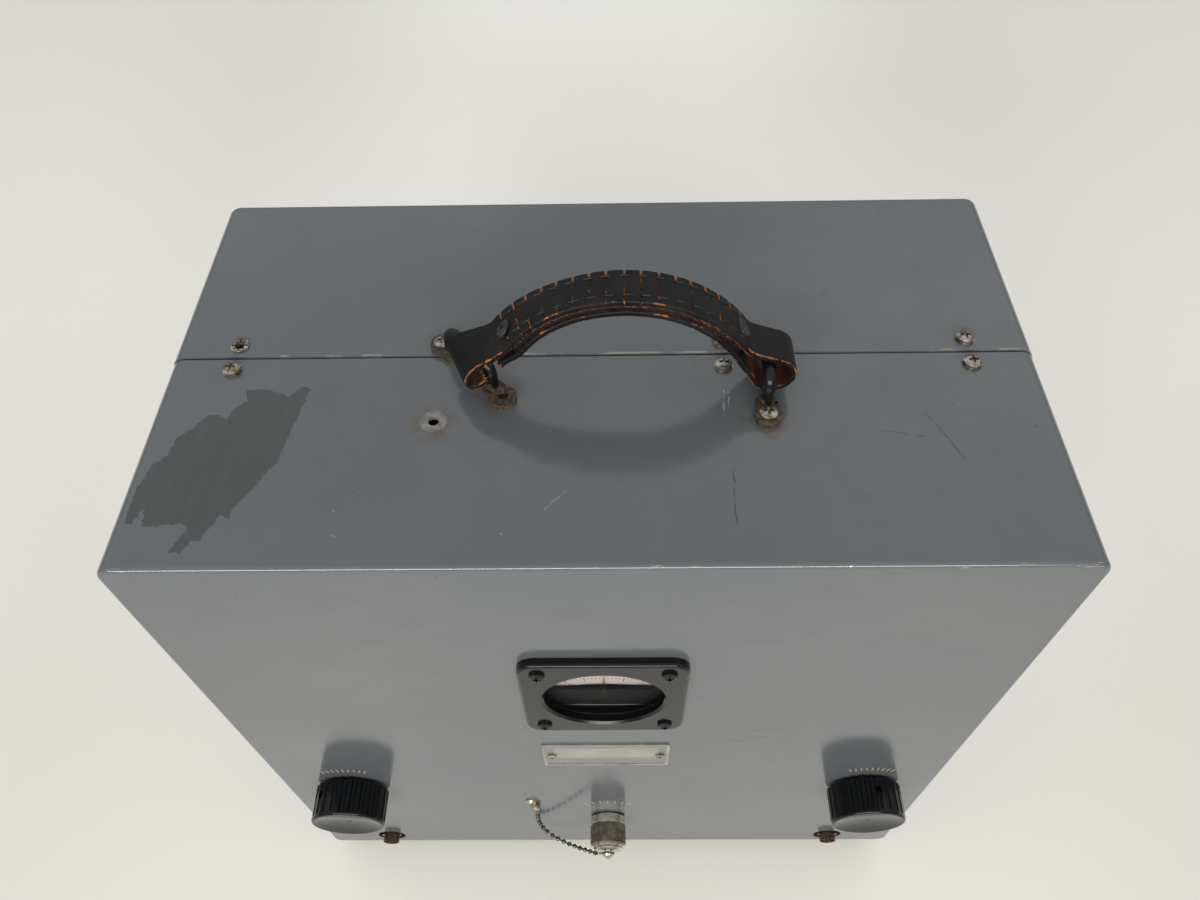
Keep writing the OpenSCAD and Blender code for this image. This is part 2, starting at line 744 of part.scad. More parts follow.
pane_t = 1.5;
legend_t = 1.2;
legend_depth = dial_depth - 1.7 - legend_t;
module bezel_screws() {
    length = bezel_t + legend_depth + legend_t + 0.3;
    color([0.07, 0.07, 0.07]) in_panel() bezel_screw_places() {
        translate([0, 0, bezel_t]) pan_screw(length, bezel_head_d, 2.2);
    }
}

module window_pane() {
    color([0.8, 0.85, 0.85, 0.3]) in_panel() translate([0, window_z, -pane_t]) {
        cylinder(d = window_d + 4, h = pane_t);
    }
}

// Fixed plate in front of the dial's lower part, with bosses on the two lower bezel screws
module legend_plate() {
    ear = 5;
    half_w = bezel_screw + ear + 1;
    color([0.5, 0.48, 0.43]) in_panel() translate([0, window_z, -legend_depth - legend_t]) difference() {
        union() {
            translate([-half_w, -22.8, 0]) cube([2 * half_w, 16.5, legend_t]);
            for (s = [-1, 1]) translate([s * bezel_screw, -bezel_screw, 0]) {
                translate([-ear, -ear, 0]) cube([2 * ear, ear + 7, legend_t]);
                cylinder(r = tapped_r + 1.4, h = legend_t + legend_depth - sheet);
            }
        }
        for (s = [-1, 1]) translate([s * bezel_screw, -bezel_screw, -1]) cylinder(r = tapped_r, h = dial_depth);
    }
}

plate_screw_x = plate_w / 2 - 4.6;
plate_hole_r = 1.35;
module nameplate() {
    border = 1.6;
    color("silver") in_panel() translate([0, plate_z, 0]) difference() {
        linear_extrude(plate_t) rounded_square(plate_w, plate_h, 1);
        translate([0, 0, plate_t * 0.6]) linear_extrude(plate_t) difference() {
            rounded_square(plate_w - 2 * border, plate_h - 2 * border, 0.5);
            for (s = [-1, 1]) translate([s * plate_screw_x, 0]) circle(r = 2.4);
        }
        for (s = [-1, 1]) translate([s * plate_screw_x, 0, -1]) cylinder(r = plate_hole_r, h = plate_t + 2);
    }
}

module nameplate_screws() {
    color("silver") in_panel() for (s = [-1, 1]) {
        translate([s * plate_screw_x, plate_z, plate_t]) pan_screw(plate_t + sheet + 1, 4.2, 1.4, 2.5);
    }
}

set_screw_r = 2;
set_screw_out = knob_gap + 6;
set_screw_lean = [44, -9];
module fluted_knob() {
    flute_r = knob_d * PI / flutes * 0.3;
    lip = 1.2;
    dish = 2;
    edge = knob_d / 2 - 1.5 * lip;
    dish_r = (edge * edge + dish * dish) / (2 * dish);
    difference() {
        rotate_extrude() difference() {
            union() {
                square([knob_d / 2 - lip, knob_len]);
                square([knob_d / 2, knob_len - lip]);
                translate([knob_d / 2 - lip, knob_len - lip]) circle(lip);
            }
            translate([0, knob_len - dish + dish_r]) circle(dish_r, $fn = 96);
        }
        for (k = [0 : flutes - 1]) rotate(360 * k / flutes) {
            translate([knob_d / 2 + flute_r * 0.35, 0, -1]) cylinder(r = flute_r, h = knob_len - lip, $fn = 24);
        }
        translate([0, 0, -1]) cylinder(r = shaft_d / 2 + slip, h = knob_len - 4);
        translate([0, 0, set_screw_out - knob_gap]) rotate([-90, 0, 0]) cylinder(r = set_screw_r, h = knob_d);
    }
}

module knob_place(side) {
    turn = set_screw_lean[side < 0 ? 0 : 1];
    in_panel() translate([side * knob_x, knob_z, knob_gap]) rotate(turn) children();
}

module left_knob() {
    color([0.04, 0.04, 0.04]) knob_place(-1) fluted_knob();
}

module right_knob() {
    color([0.04, 0.04, 0.04]) knob_place(1) fluted_knob();
}

module set_screw() {
    length = 8;
    translate([0, shaft_d / 2 + slip, set_screw_out - knob_gap]) rotate([-90, 0, 0]) {
        difference() {
            cylinder(r = set_screw_r - slip, h = length);
            translate([0, 0, length - 1.5]) cylinder(d = 1.8, h = 2, $fn = 6);
        }
    }
}

module left_set_screw() {
    color("dimgray") knob_place(-1) set_screw();
}

module right_set_screw() {
    color("dimgray") knob_place(1) set_screw();
}

// Control shaft from inside the knob to a depth behind the panel
module control_shaft(side, depth) {
    out = knob_gap + knob_len - 6;
    color("silver") in_panel() translate([side * knob_x, knob_z, -depth]) {
        cylinder(d = shaft_d, h = depth + out);
    }
}

module left_shaft() {
    control_shaft(-1, rear_gears + gear_face + 3);
}

module right_shaft() {
    control_shaft(1, deck_back + 4);
}

// Gear flank: half the angle of a tooth at radius r, from the involute of the base circle
pressure = 20;
function involute(a) = tan(a) * 180 / PI - a;
function tooth_half(z, r) =
    let (pitch = pitch_r(z), base = pitch * cos(pressure))
    (PI * gear_module / 2 - backlash) / (2 * pitch) * 180 / PI
        + involute(pressure) - involute(acos(min(1, base / r)));
function polar(r, a) = [r * cos(a), r * sin(a)];
function tooth_radii(z) = [pitch_r(z) - 1.25 * gear_module, pitch_r(z), pitch_r(z) + gear_module];

module gear_outline(z) {
    radii = tooth_radii(z);
    polygon([
        for (k = [0 : z - 1], s = [-1, 1], i = [0 : 2])
            let (r = radii[s < 0 ? i : 2 - i]) polar(r, 360 * k / z + s * tooth_half(z, r))
    ]);
}

module gear(z, bore, first, windows) {
    rim = pitch_r(z) - 1.25 * gear_module - 6;
    hub = bore + 5;
    spoke = windows > 0 ? (rim + hub) / 2 * sin(180 / windows) : 0;
    window_r = min((rim - hub) / 2, spoke) * 0.82;
    rotate(first) linear_extrude(gear_face) difference() {
        gear_outline(z);
        circle(r = bore);
        if (windows > 0) for (k = [0 : windows - 1]) rotate(360 * (k + 0.5) / windows) {
            translate([(rim + hub) / 2, 0]) circle(r = window_r);
        }
    }
}

left_angle = 180 - train_angle;
right_angle = train_angle;

module left_pinion() {
    color("goldenrod") in_panel() translate([-knob_x, knob_z, -rear_gears - gear_face]) {
        gear(pinion_teeth, shaft_d / 2 + slip, left_angle + 180, 0);
    }
}

module right_pinion() {
    color("goldenrod") in_panel() translate([knob_x, knob_z, -front_gears - gear_face]) {
        gear(pinion_teeth, shaft_d / 2 + slip, right_angle + 180, 0);
    }
}

module left_idler() {
    color("goldenrod") in_panel() translate([-idler_x, idler_z, -rear_gears - gear_face]) {
        gear(idler_teeth, shaft_d / 2 + running, left_angle + 180 + 180 / idler_teeth, 5);
    }
}

module right_idler() {
    color("goldenrod") in_panel() translate([idler_x, idler_z, -front_gears - gear_face]) {
        gear(idler_teeth, shaft_d / 2 + slip, right_angle + 180 + 180 / idler_teeth, 5);
    }
}

// Stud with a shoulder in front of its idler and a clip ring behind it
module left_idler_stud() {
    shoulder = rear_gears - deck_back - seat;
    clip = 1.2;
    color("silver") in_panel() translate([-idler_x, idler_z, -rear_gears - gear_face - seat - clip]) {
        cylinder(d = shaft_d, h = rear_gears + gear_face + seat + clip - deck_depth);
        cylinder(d = shaft_d + 3, h = clip);
        translate([0, 0, clip + 2 * seat + gear_face]) cylinder(d = shaft_d + 3, h = shoulder);
    }
}

module phase_gear() {
    color("goldenrod") in_panel() translate([0, dial_z, -rear_gears - gear_face]) {
        gear(dial_teeth, shaft_d / 2 + slip, left_angle, 6);
    }
}

module magnitude_gear() {
    color("goldenrod") in_panel() translate([0, dial_z, -front_gears - gear_face]) {
        gear(dial_teeth, sleeve_r + slip, right_angle, 6);
    }
}

module phase_dial() {
    hub_h = 2;
    color("ivory") in_panel() translate([0, dial_z, -phase_back]) difference() {
        union() {
            cylinder(r = phase_dial_r, h = dial_t, $fn = 96);
            cylinder(r = shaft_d / 2 + 5, h = dial_t + hub_h);
        }
        translate([0, 0, -1]) cylinder(r = shaft_d / 2 + slip, h = dial_t + hub_h + 2);
    }
}

arm_depth = bridge_depth + bridge_t + 4;
arm_t = 5;
line_face = arm_depth + arm_t + 4;
line_r = 52;
module phase_shaft() {
    front = dial_depth - 2;
    color("silver") in_panel() translate([0, dial_z, -arm_depth - arm_t]) {
        cylinder(d = shaft_d, h = arm_depth + arm_t - front);
    }
}

// Arm on the end of the phase shaft that carries the pick-up probe round the slotted line
module probe_arm() {
    color("silver") in_panel() translate([0, dial_z, -arm_depth - arm_t]) difference() {
        union() {
            cylinder(r = shaft_d / 2 + 5, h = arm_t);
            translate([0, -5, 0]) cube([line_r, 10, arm_t]);
            translate([line_r, 0, 0]) cylinder(r = 5, h = arm_t);
            translate([line_r, 0, -8]) cylinder(r = 1.2, h = 9);
        }
        translate([0, 0, -1]) cylinder(r = shaft_d / 2 + slip, h = arm_t + 2);
    }
}

line_screw_r = line_r + 12;
line_screws = 3;
line_rim = line_screw_r + 8;
module line_screw(k) {
    rotate_at = 360 / line_screws * k + 90;
    translate([line_screw_r * cos(rotate_at), dial_z + line_screw_r * sin(rotate_at), 0]) children();
}

// Ring with an open annular slot: the transmission line that the probe samples
module phase_line() {
    depth = web_depth - line_face;
    color("gainsboro") in_panel() translate([0, 0, -web_depth]) difference() {
        translate([0, dial_z, 0]) difference() {
            cylinder(r = line_rim, h = depth);
            translate([0, 0, -1]) cylinder(r = line_r - 16, h = depth + 2);
            translate([0, 0, depth - 16]) tube(line_r + 4, line_r - 4, 17);
        }
        for (k = [0 : line_screws - 1]) line_screw(k) translate([0, 0, -1]) cylinder(r = tapped_r, h = 10);
    }
}

module magnitude_dial() {
    color("ivory") in_panel() translate([0, dial_z, -rear_dial_back]) difference() {
        union() {
            cylinder(r = magnitude_dial_r, h = dial_t, $fn = 96);
            translate([0, 0, -hub_l]) cylinder(r = sleeve_r + 5, h = hub_l + dial_t);
        }
        translate([0, 0, -hub_l - 1]) cylinder(r = sleeve_r + slip, h = hub_l + dial_t + 2);
    }
}

module magnitude_sleeve() {
    front = rear_dial_face - 0.5;
    back = deck_back + 4;
    color("silver") in_panel() translate([0, dial_z, -back]) {
        tube(sleeve_r, shaft_d / 2 + running, back - front);
    }
}

can_r = 26;
can_wall = 2;
can_l = 34;
module attenuator_can() {
    color("gainsboro") in_panel() translate([idler_x, idler_z, -deck_back - can_l]) difference() {
        cylinder(r = can_r, h = can_l);
        translate([0, 0, can_wall]) cylinder(r = can_r - can_wall, h = can_l);
    }
}

rotor_depth = deck_back + 14;
module right_idler_shaft() {
    front = front_gears - 1;
    color("silver") in_panel() translate([idler_x, idler_z, -rotor_depth - 4]) {
        cylinder(d = shaft_d, h = rotor_depth + 4 - front);
    }
}

module attenuator_rotor() {
    vane_t = 3;
    color("goldenrod") in_panel() translate([idler_x, idler_z, -rotor_depth - 3]) difference() {
        union() {
            cylinder(r = shaft_d / 2 + 3, h = 2 * vane_t);
            intersection() {
                cylinder(r = can_r - can_wall - 1.5, h = vane_t);
                translate([-can_r, 0, 0]) cube([2 * can_r, can_r, vane_t]);
            }
        }
        translate([0, 0, -1]) cylinder(r = shaft_d / 2 + slip, h = 8);
    }
}

jack_neck_r = 5.5;
elbow_r = 7;
line_d = 6;
coax_depth = (jack_deck + jack_deck_t + deck_depth) / 2;
elbow_back = deck_depth - 1;
module test_jack(side) {
    lug_out = jack_d / 2 + 0.9;
    color([0.42, 0.35, 0.26]) in_panel() translate([side * jack_x, jack_z, 0]) difference() {
        union() {
            translate([0, 0, -jack_deck]) cylinder(d = jack_d, h = jack_deck + jack_reach);
            translate([0, 0, -jack_deck]) cylinder(r = elbow_r + 0.6, h = 2.4);
            translate([0, 0, -jack_deck - jack_deck_t]) cylinder(r = jack_neck_r, h = jack_deck_t + 1);
            translate([0, 0, -elbow_back]) cylinder(r = elbow_r, h = elbow_back - jack_deck - jack_deck_t);
            translate([-lug_out, 0, jack_reach - 4.6]) rotate([0, 90, 0]) cylinder(d = 2, h = 2 * lug_out);
        }
        translate([0, 0, jack_reach - 9]) cylinder(d = jack_d - 1.5, h = 10);
        translate([-side * elbow_r * 0.4, 0, -coax_depth]) rotate([0, -side * 90, 0]) {
            cylinder(d = line_d + 2 * slip, h = elbow_r);
        }
    }
}

module left_jack() {
    test_jack(-1);
}

module right_jack() {
    test_jack(1);
}

// White insulator sleeves with their centre contacts, one in each test jack
module jack_insulators() {
    length = 7;
    color("white") in_panel() for (s = [-1, 1]) {
        translate([s * jack_x, jack_z, jack_reach - 9]) {
            tube(2.4, 0.7, length);
            cylinder(r = jack_d / 2 - 0.75 - slip, h = 1);
        }
    }
}

load_neck_r = 8;
load_len = cap_gap + 9;
module load_jack() {
    flange_w = 25.4;
    flange_t = 3;
    color([0.55, 0.53, 0.48]) in_panel() translate([0, load_z, 0]) difference() {
        union() {
            translate([0, 0, -jack_deck]) cylinder(d = load_d, h = jack_deck + load_len);
            translate([0, 0, -jack_deck]) linear_extrude(flange_t) rounded_square(flange_w, flange_w, 2);
            translate([0, 0, -jack_deck - jack_deck_t]) cylinder(r = load_neck_r - slip, h = jack_deck_t + 1);
        }
        translate([0, 0, load_len - 9]) tube(load_d / 2 - 2.2, 2, 10);
        translate([0, 0, load_len - 9]) cylinder(r = 0.8, h = 10);
    }
}

// Metal block behind the load jack where the three lines meet
block_w = 50;
module bridge_block() {
    low = deck_low;
    high = jack_plate_top - 2;
    front = jack_deck + jack_deck_t;
    color("gainsboro") in_panel() difference() {
        translate([-block_w / 2, low, -deck_depth]) cube([block_w, high - low, deck_depth - front]);
        for (s = [-1, 1]) translate([s * (block_w / 2 - 6), jack_z, -coax_depth]) rotate([0, s * 90, 0]) {
            cylinder(d = line_d + 2 * slip, h = 7);
        }
    }
}

module coax_lines() {
    start = block_w / 2 - 6;
    end = jack_x - elbow_r * 0.4;
    color("peru") in_panel() for (s = [-1, 1]) {
        translate([s * start, jack_z, -coax_depth]) rotate([0, s * 90, 0]) cylinder(d = line_d, h = end - start);
    }
}

// Chain that keeps the cap: its lug is riveted to the panel
lug_x = -43;
lug_z = 85;
lug_rivet_r = 1.5;
lug_t = 0.8;
chain_link_d = 0.9;
last_link_d = 1.6;
lug_barrel_h = 1.7;
chain_start = [-39.5, lug_z - 9, lug_barrel_h];
chain_sag = [-47.6, load_z - 33, 2];
chain_sleeve = 7.5;
chain_end = [-6.4, load_z, cap_gap + cap_len + 1.4];
lug_grip = 6;
lug_reach = [chain_start[0] - lug_x, chain_start[1] - lug_z];
module chain_lug() {
    lug_r = 3.2;
    lean = atan2(lug_reach[1], lug_reach[0]);
    length = norm(lug_reach);
    color("darkgoldenrod") in_panel() translate([lug_x, lug_z, 0]) {
        cylinder(r = lug_rivet_r, h = lug_t + 0.1);
        translate([0, 0, -sheet - 0.6]) cylinder(r = lug_rivet_r, h = sheet + 1);
        translate([0, 0, lug_t]) cylinder(r1 = 2.3, r2 = 1.5, h = 0.9);
        rotate(lean) {
            linear_extrude(lug_t) {
                circle(r = lug_r);
                translate([0, -lug_barrel_h]) square([length - lug_grip - 0.5, 2 * lug_barrel_h]);
            }
            translate([length - lug_grip - 1, 0, lug_barrel_h]) rotate([0, 90, 0]) difference() {
                cylinder(r = lug_barrel_h, h = lug_grip);
                translate([0, 0, 1]) cylinder(d = chain_link_d + 2 * slip, h = lug_grip);
            }
        }
    }
}

function chain_point(t) =
    pow(1 - t, 2) * chain_start + 2 * t * (1 - t) * chain_sag + t * t * chain_end;

// Length of chain up to a share of its curve, and the point at a given length
chain_n = 80;
function chain_leg(i) = norm(chain_point((i + 1) / chain_n) - chain_point(i / chain_n));
chain_run = [for (i = 0, s = 0; i <= chain_n; s = s + chain_leg(i), i = i + 1) [s, i / chain_n]];
chain_len = chain_run[chain_n][0];
function chain_at(s) = chain_point(lookup(s, chain_run));

module between(a, b, d) {
    v = b - a;
    translate(a) rotate([0, acos(v[2] / norm(v)), atan2(v[1], v[0])]) cylinder(d = d, h = norm(v), $fn = 16);
}

module bead_chain() {
    crimp = 3 * lug_reach / norm(lug_reach);
    sleeve_d = bead_d * 0.85;
    pitch = (chain_len - chain_sleeve) / beads;
    color("dimgray") in_panel() {
        between(chain_start - [crimp[0], crimp[1], 0], chain_start, chain_link_d);
        translate(chain_start) sphere(d = 1.4, $fn = 24);
        between(chain_start, chain_at(chain_sleeve), sleeve_d);
        for (k = [0 : beads - 1]) {
            s = chain_sleeve + pitch * (k + 0.6);
            translate(chain_at(s)) sphere(d = bead_d, $fn = 24);
            between(chain_at(s - pitch * (k == 0 ? 0.8 : 1)), chain_at(s), chain_link_d);
        }
        between(chain_at(chain_len - pitch * 0.4), chain_end, last_link_d);
    }
}

// Flat eye that the cap turns in, on the end of the chain
stem_r = 2;
eye_r = 3.6;
eye_t = 0.8;
eye_tail = 2;
module chain_eye() {
    tail_x = chain_end[0] + last_link_d / 2 + 0.1;
    color("silver") in_panel() translate([0, load_z, chain_end[2] - eye_t / 2]) difference() {
        union() {
            cylinder(r = eye_r, h = eye_t);
            translate([tail_x, -eye_tail / 2, 0]) cube([-tail_x - 3, eye_tail, eye_t]);
        }
        translate([0, 0, -1]) cylinder(r = stem_r + running, h = 3);
    }
}

// Dust cap: plain band, knurled grip, stepped end and the swivel rivet that holds the chain's eye
module load_cap() {
    end = cap_gap + cap_len;
    grip_r = cap_d / 2;
    color([0.6, 0.58, 0.54]) in_panel() translate([0, load_z, 0]) difference() {
        union() {
            translate([0, 0, cap_gap]) cylinder(r = grip_r, h = 4);
            translate([0, 0, cap_gap]) cylinder(r = grip_r - 0.4, h = cap_len - 2);
            translate([0, 0, cap_gap + 4.6]) cylinder(r = grip_r, h = cap_len - 7.6);
            translate([0, 0, cap_gap]) cylinder(r = grip_r - 1.6, h = cap_len - 0.8);
            translate([0, 0, cap_gap]) cylinder(r = grip_r - 4, h = cap_len);
            translate([0, 0, end - 1]) cylinder(r = stem_r, h = 4);
            translate([0, 0, end + 2.2]) cylinder(r1 = 3.4, r2 = 2.9, h = 0.8);
            translate([0, 0, end + 2.9]) cylinder(r1 = 2.4, r2 = 0.9, h = 1.5);
        }
        translate([0, 0, cap_gap - 1]) cylinder(d = load_d + 2 * thread_gap, h = cap_len - 1.5);
    }
}

front_shell();
rear_shell();
chassis_frame();
deck_plate();
deck_posts();
post_screws();
jack_plate();
jack_plate_spacers();
bearing_bridge();
dial_bushing();
shaft_bushings();
rubber_feet();
foot_screws();
seam_screws();
seam_washers();
left_bracket();
right_bracket();
bracket_screws();
bracket_nut();
handle_cover();
handle_core();
handle_rivets();
window_bezel();
bezel_screws();
window_pane();
legend_plate();
nameplate();
nameplate_screws();
left_knob();
left_set_screw();
left_shaft();
left_pinion();
left_idler();
left_idler_stud();
phase_dial();
phase_shaft();
phase_gear();
probe_arm();
phase_line();
right_knob();
right_set_screw();
right_shaft();
right_pinion();
right_idler();
right_idler_shaft();
magnitude_dial();
magnitude_sleeve();
magnitude_gear();
attenuator_can();
attenuator_rotor();
left_jack();
right_jack();
jack_insulators();
load_jack();
bridge_block();
coax_lines();
chain_lug();
bead_chain();
chain_eye();
load_cap();
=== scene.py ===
# %% [markdown]
# A worn impedance bridge
#
# The part is a grey steel test instrument from the valve age: two pans of bent sheet, a leather
# carrying handle, two knobs and a small dial window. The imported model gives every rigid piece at
# its real size. This lesson gives those pieces their finishes, and models what a solid can't show:
# cracked leather with its stitches, a touched-up patch of paint, dial marks and a bead chain.

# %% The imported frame
import math

import bmesh
import bpy
import numpy as np
from mathutils import Matrix, Vector, noise


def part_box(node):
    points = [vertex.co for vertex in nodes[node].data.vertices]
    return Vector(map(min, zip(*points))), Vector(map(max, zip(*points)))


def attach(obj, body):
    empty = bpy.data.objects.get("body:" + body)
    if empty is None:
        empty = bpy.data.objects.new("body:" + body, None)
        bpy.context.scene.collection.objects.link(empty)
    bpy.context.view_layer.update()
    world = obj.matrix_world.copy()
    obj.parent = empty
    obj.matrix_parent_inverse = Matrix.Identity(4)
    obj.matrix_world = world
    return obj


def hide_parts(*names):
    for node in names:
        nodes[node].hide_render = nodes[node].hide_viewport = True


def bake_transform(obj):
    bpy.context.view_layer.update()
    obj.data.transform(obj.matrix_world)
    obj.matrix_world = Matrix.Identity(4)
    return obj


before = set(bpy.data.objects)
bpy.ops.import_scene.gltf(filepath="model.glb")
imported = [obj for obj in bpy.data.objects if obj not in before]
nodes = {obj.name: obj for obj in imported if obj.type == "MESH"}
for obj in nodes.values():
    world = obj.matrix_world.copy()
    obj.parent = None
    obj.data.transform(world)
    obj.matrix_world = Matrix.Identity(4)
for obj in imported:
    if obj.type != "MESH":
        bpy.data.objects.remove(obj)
scene = bpy.context.scene
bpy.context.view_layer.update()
MM = 0.001
shell_low, shell_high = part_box("front_shell")
rear_low, rear_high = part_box("rear_shell")
PANEL_Y = shell_low.y
SEAM_Y = rear_low.y
BASE_Z = shell_low.z
TOP_Z = shell_high.z
print("nodes", len(nodes), "panel at", round(PANEL_Y, 4), "top at", round(TOP_Z, 4))

# %% [markdown]
# Two small rulers. Marks on the panel are measured in millimetres from its middle and from the
# bottom edge, and marks on the top from the middle and from the panel, as one would with a rule
# held against the case. Both give a point in the frame, in metres.

# %% Rulers on the panel and on the top
def on_panel(x, height, out=0.0):
    return Vector((x * MM, PANEL_Y - out * MM, BASE_Z + height * MM))


def on_top(x, depth, up=0.0):
    return Vector((x * MM, PANEL_Y + depth * MM, TOP_Z + up * MM))


def middle(node):
    low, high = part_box(node)
    return (low + high) / 2


print("window middle", [round(v, 4) for v in middle("window_bezel")])

# %% [markdown]
# The camera stands close in front of the case and looks steeply down, so the top fills the upper
# half of the picture and the panel runs away below it. It could be moved by eye until it fits, but
# the straight edges of the case fix its place and three angles, and the lens follows from a focal
# length in pixels of a 1200 wide frame.

# %% Camera
FRAME_PX = 1200
FOCAL_PX = 922.8
PITCH_DEG, YAW_DEG, ROLL_DEG = 52.86, -1.38, 1.59
CAMERA_AT = Vector((4.99, -244.76, 627.7)) * MM


def put(name, data):
    thing = bpy.data.objects.new(name, data)
    scene.collection.objects.link(thing)
    return thing


pitch, yaw, roll = (math.radians(a) for a in (PITCH_DEG, YAW_DEG, ROLL_DEG))
ahead = Vector((math.sin(yaw) * math.cos(pitch), math.cos(yaw) * math.cos(pitch), -math.sin(pitch)))
level = Vector((math.cos(yaw), -math.sin(yaw), 0))
down = ahead.cross(level)
across = math.cos(roll) * level + math.sin(roll) * down
below = -math.sin(roll) * level + math.cos(roll) * down
camera = put("camera", bpy.data.cameras.new("camera"))
camera.data.sensor_width = 36
camera.data.lens = FOCAL_PX / FRAME_PX * camera.data.sensor_width
turn = Matrix((across, -below, -ahead)).transposed().to_4x4()
camera.matrix_world = Matrix.Translation(CAMERA_AT) @ turn
scene.camera = camera
scene.view_settings.view_transform = "Standard"
print("lens", round(camera.data.lens, 2), "mm")

# %% [markdown]
# Finishes, node trees and the sky are all made of nodes. The class Recipe only shortens the calls:
# each method adds one node, feeds its inputs with values or with other outputs, and returns what
# comes out, so that a tree reads like a recipe. A finish is a Principled shader fed by a few textures.
# All patterns lie on Object coordinates, which are metres here, so a noise of scale 1000 has 1 mm grains.

# %% Node recipes
class Recipe:
    def __init__(self, tree):
        self.nodes = tree.nodes
        self.links = tree.links

    def feed(self, socket, value):
        if isinstance(value, bpy.types.NodeSocket):
            self.links.new(value, socket)
        elif socket.type == "RGBA":
            socket.default_value = (*value, 1)
        else:
            socket.default_value = value

    def add(self, kind, inputs, **settings):
        node = self.nodes.new(kind)
        for key, value in settings.items():
            setattr(node, key, value)
        for key, value in inputs.items():
            self.feed(node.inputs[key], value)
        return node.outputs

    def math(self, operation, a, b=0.0):
        return self.add("ShaderNodeMath", {0: a, 1: b}, operation=operation)[0]

    def times(self, a, b):
        return self.math("MULTIPLY", a, b)

    def plus(self, a, b):
        return self.math("ADD", a, b)

    def minus(self, a, b):
        return self.math("SUBTRACT", a, b)

    def ramp(self, value, start, end, low=0.0, high=1.0):
        inputs = {"Value": value, "From Min": start, "From Max": end, "To Min": low, "To Max": high}
        return self.add("ShaderNodeMapRange", inputs, interpolation_type="SMOOTHSTEP")[0]

    def axes(self, place):
        return self.add("ShaderNodeSeparateXYZ", {0: place})


print("node recipes ready")

# %% Finishes
class Finish(Recipe):
    def __init__(self, name, color, roughness, metallic=0.0):
        self.material = bpy.data.materials.new(name)
        self.material.use_nodes = True
        super().__init__(self.material.node_tree)
        self.shader = self.nodes["Principled BSDF"]
        self.place = self.add("ShaderNodeTexCoord", {})["Object"]
        self.set("Base Color", color)
        self.set("Roughness", roughness)
        self.set("Metallic", metallic)

    def set(self, socket, value):
        self.feed(self.shader.inputs[socket], value)

    def color_so_far(self):
        return self.shader.inputs["Base Color"].links[0].from_socket

    def xyz(self):
        return self.axes(self.place)

    def vector(self, operation, a, b):
        return self.add("ShaderNodeVectorMath", {0: a, 1: b}, operation=operation)

    def stretch(self, sx, sy, sz, turn=0.0):
        inputs = {"Vector": self.place, "Scale": (sx, sy, sz), "Rotation": (0, 0, turn)}
        return self.add("ShaderNodeMapping", inputs)[0]

    def noise(self, scale, detail=3.0, vector=None, roughness=0.55):
        inputs = {"Vector": vector or self.place, "Scale": scale, "Detail": detail, "Roughness": roughness}
        return self.add("ShaderNodeTexNoise", inputs)[0]

    def within(self, value, limit, soft=0.1 * MM):
        return self.ramp(value, limit - soft, limit + soft, 1.0, 0.0)

    def mix(self, share, a, b, blend="MIX"):
        return self.add("ShaderNodeMix", {0: share, 6: a, 7: b}, data_type="RGBA", blend_type=blend)[2]

    def attribute(self, name):
        return self.add("ShaderNodeAttribute", {}, attribute_name=name)["Fac"]

    def bump(self, height, distance, strength=1.0):
        inputs = {"Height": height, "Distance": distance, "Strength": strength}
        self.set("Normal", self.add("ShaderNodeBump", inputs)[0])

    def spot(self, centre, inner, outer):
        reach = self.vector("DISTANCE", self.place, tuple(centre))["Value"]
        return self.ramp(reach, inner, outer, 1.0, 0.0)

    def stroke(self, place, start, end, width):
        run = Vector(end) - Vector(start)
        aim = tuple(run.normalized())
        away = self.vector("SUBTRACT", place, tuple(start))[0]
        along = self.vector("DOT_PRODUCT", away, aim)["Value"]
        held = self.add("ShaderNodeClamp", {"Value": along, "Min": 0.0, "Max": run.length})[0]
        foot = self.add("ShaderNodeVectorMath", {0: aim, 3: held}, operation="SCALE")[0]
        off = self.vector("DISTANCE", away, foot)["Value"]
        return self.ramp(off, width * 0.35, width, 1.0, 0.0)


def largest(finish, masks):
    total = masks[0]
    for mask in masks[1:]:
        total = finish.math("MAXIMUM", total, mask)
    return total


def dress(finish, *names):
    for name in names:
        nodes[name].data.materials.clear()
        nodes[name].data.materials.append(finish.material)


print("finish recipes ready")

# %% [markdown]
# The enamel is a blue-grey semi-gloss. What makes it look old is not the colour but the wear: chips
# where the sheet is bent, because paint is thin on an edge; scratches; stains round the bracket
# feet; and a bare rim where the rear pan meets the seam. Painted maps could show all that, but nodes
# stay sharp and know where the bends are: the distance to the nearest bend is the sum of the
# distances to two faces, and a noise breaks it up into chips. Scratches are given by their two ends.

# %% Chips and strokes in the enamel
def bend_chips(paint, x, y, z):
    side = paint.minus(shell_high.x, paint.math("ABSOLUTE", x))
    top = paint.minus(TOP_Z, z)
    end = paint.math("MINIMUM", paint.minus(y, PANEL_Y), paint.minus(rear_high.y, y))
    wall = paint.math("MINIMUM", side, paint.math("MINIMUM", top, paint.minus(z, BASE_Z)))
    near = paint.ramp(paint.plus(wall, end), 0.9 * MM, 2.6 * MM, 1.0, 0.0)
    corner = paint.ramp(paint.plus(paint.plus(side, top), end), 4 * MM, 22 * MM, 0.09, 0.0)
    grain = paint.noise(1000, 6, paint.stretch(0.14, 1, 1))
    chance = paint.plus(paint.plus(grain, paint.times(near, 0.3)), corner)
    return paint.ramp(chance, 0.9, 0.925)


def shaken_place(paint):
    wobble_inputs = {"Vector": paint.place, "Scale": 150.0, "Detail": 2.0}
    wobble = paint.add("ShaderNodeTexNoise", wobble_inputs)[1]
    centred = paint.vector("SUBTRACT", wobble, (0.5, 0.5, 0.5))[0]
    nudge = paint.vector("MULTIPLY", centred, (2 * MM, 2 * MM, 2 * MM))[0]
    return paint.vector("ADD", paint.place, nudge)[0]


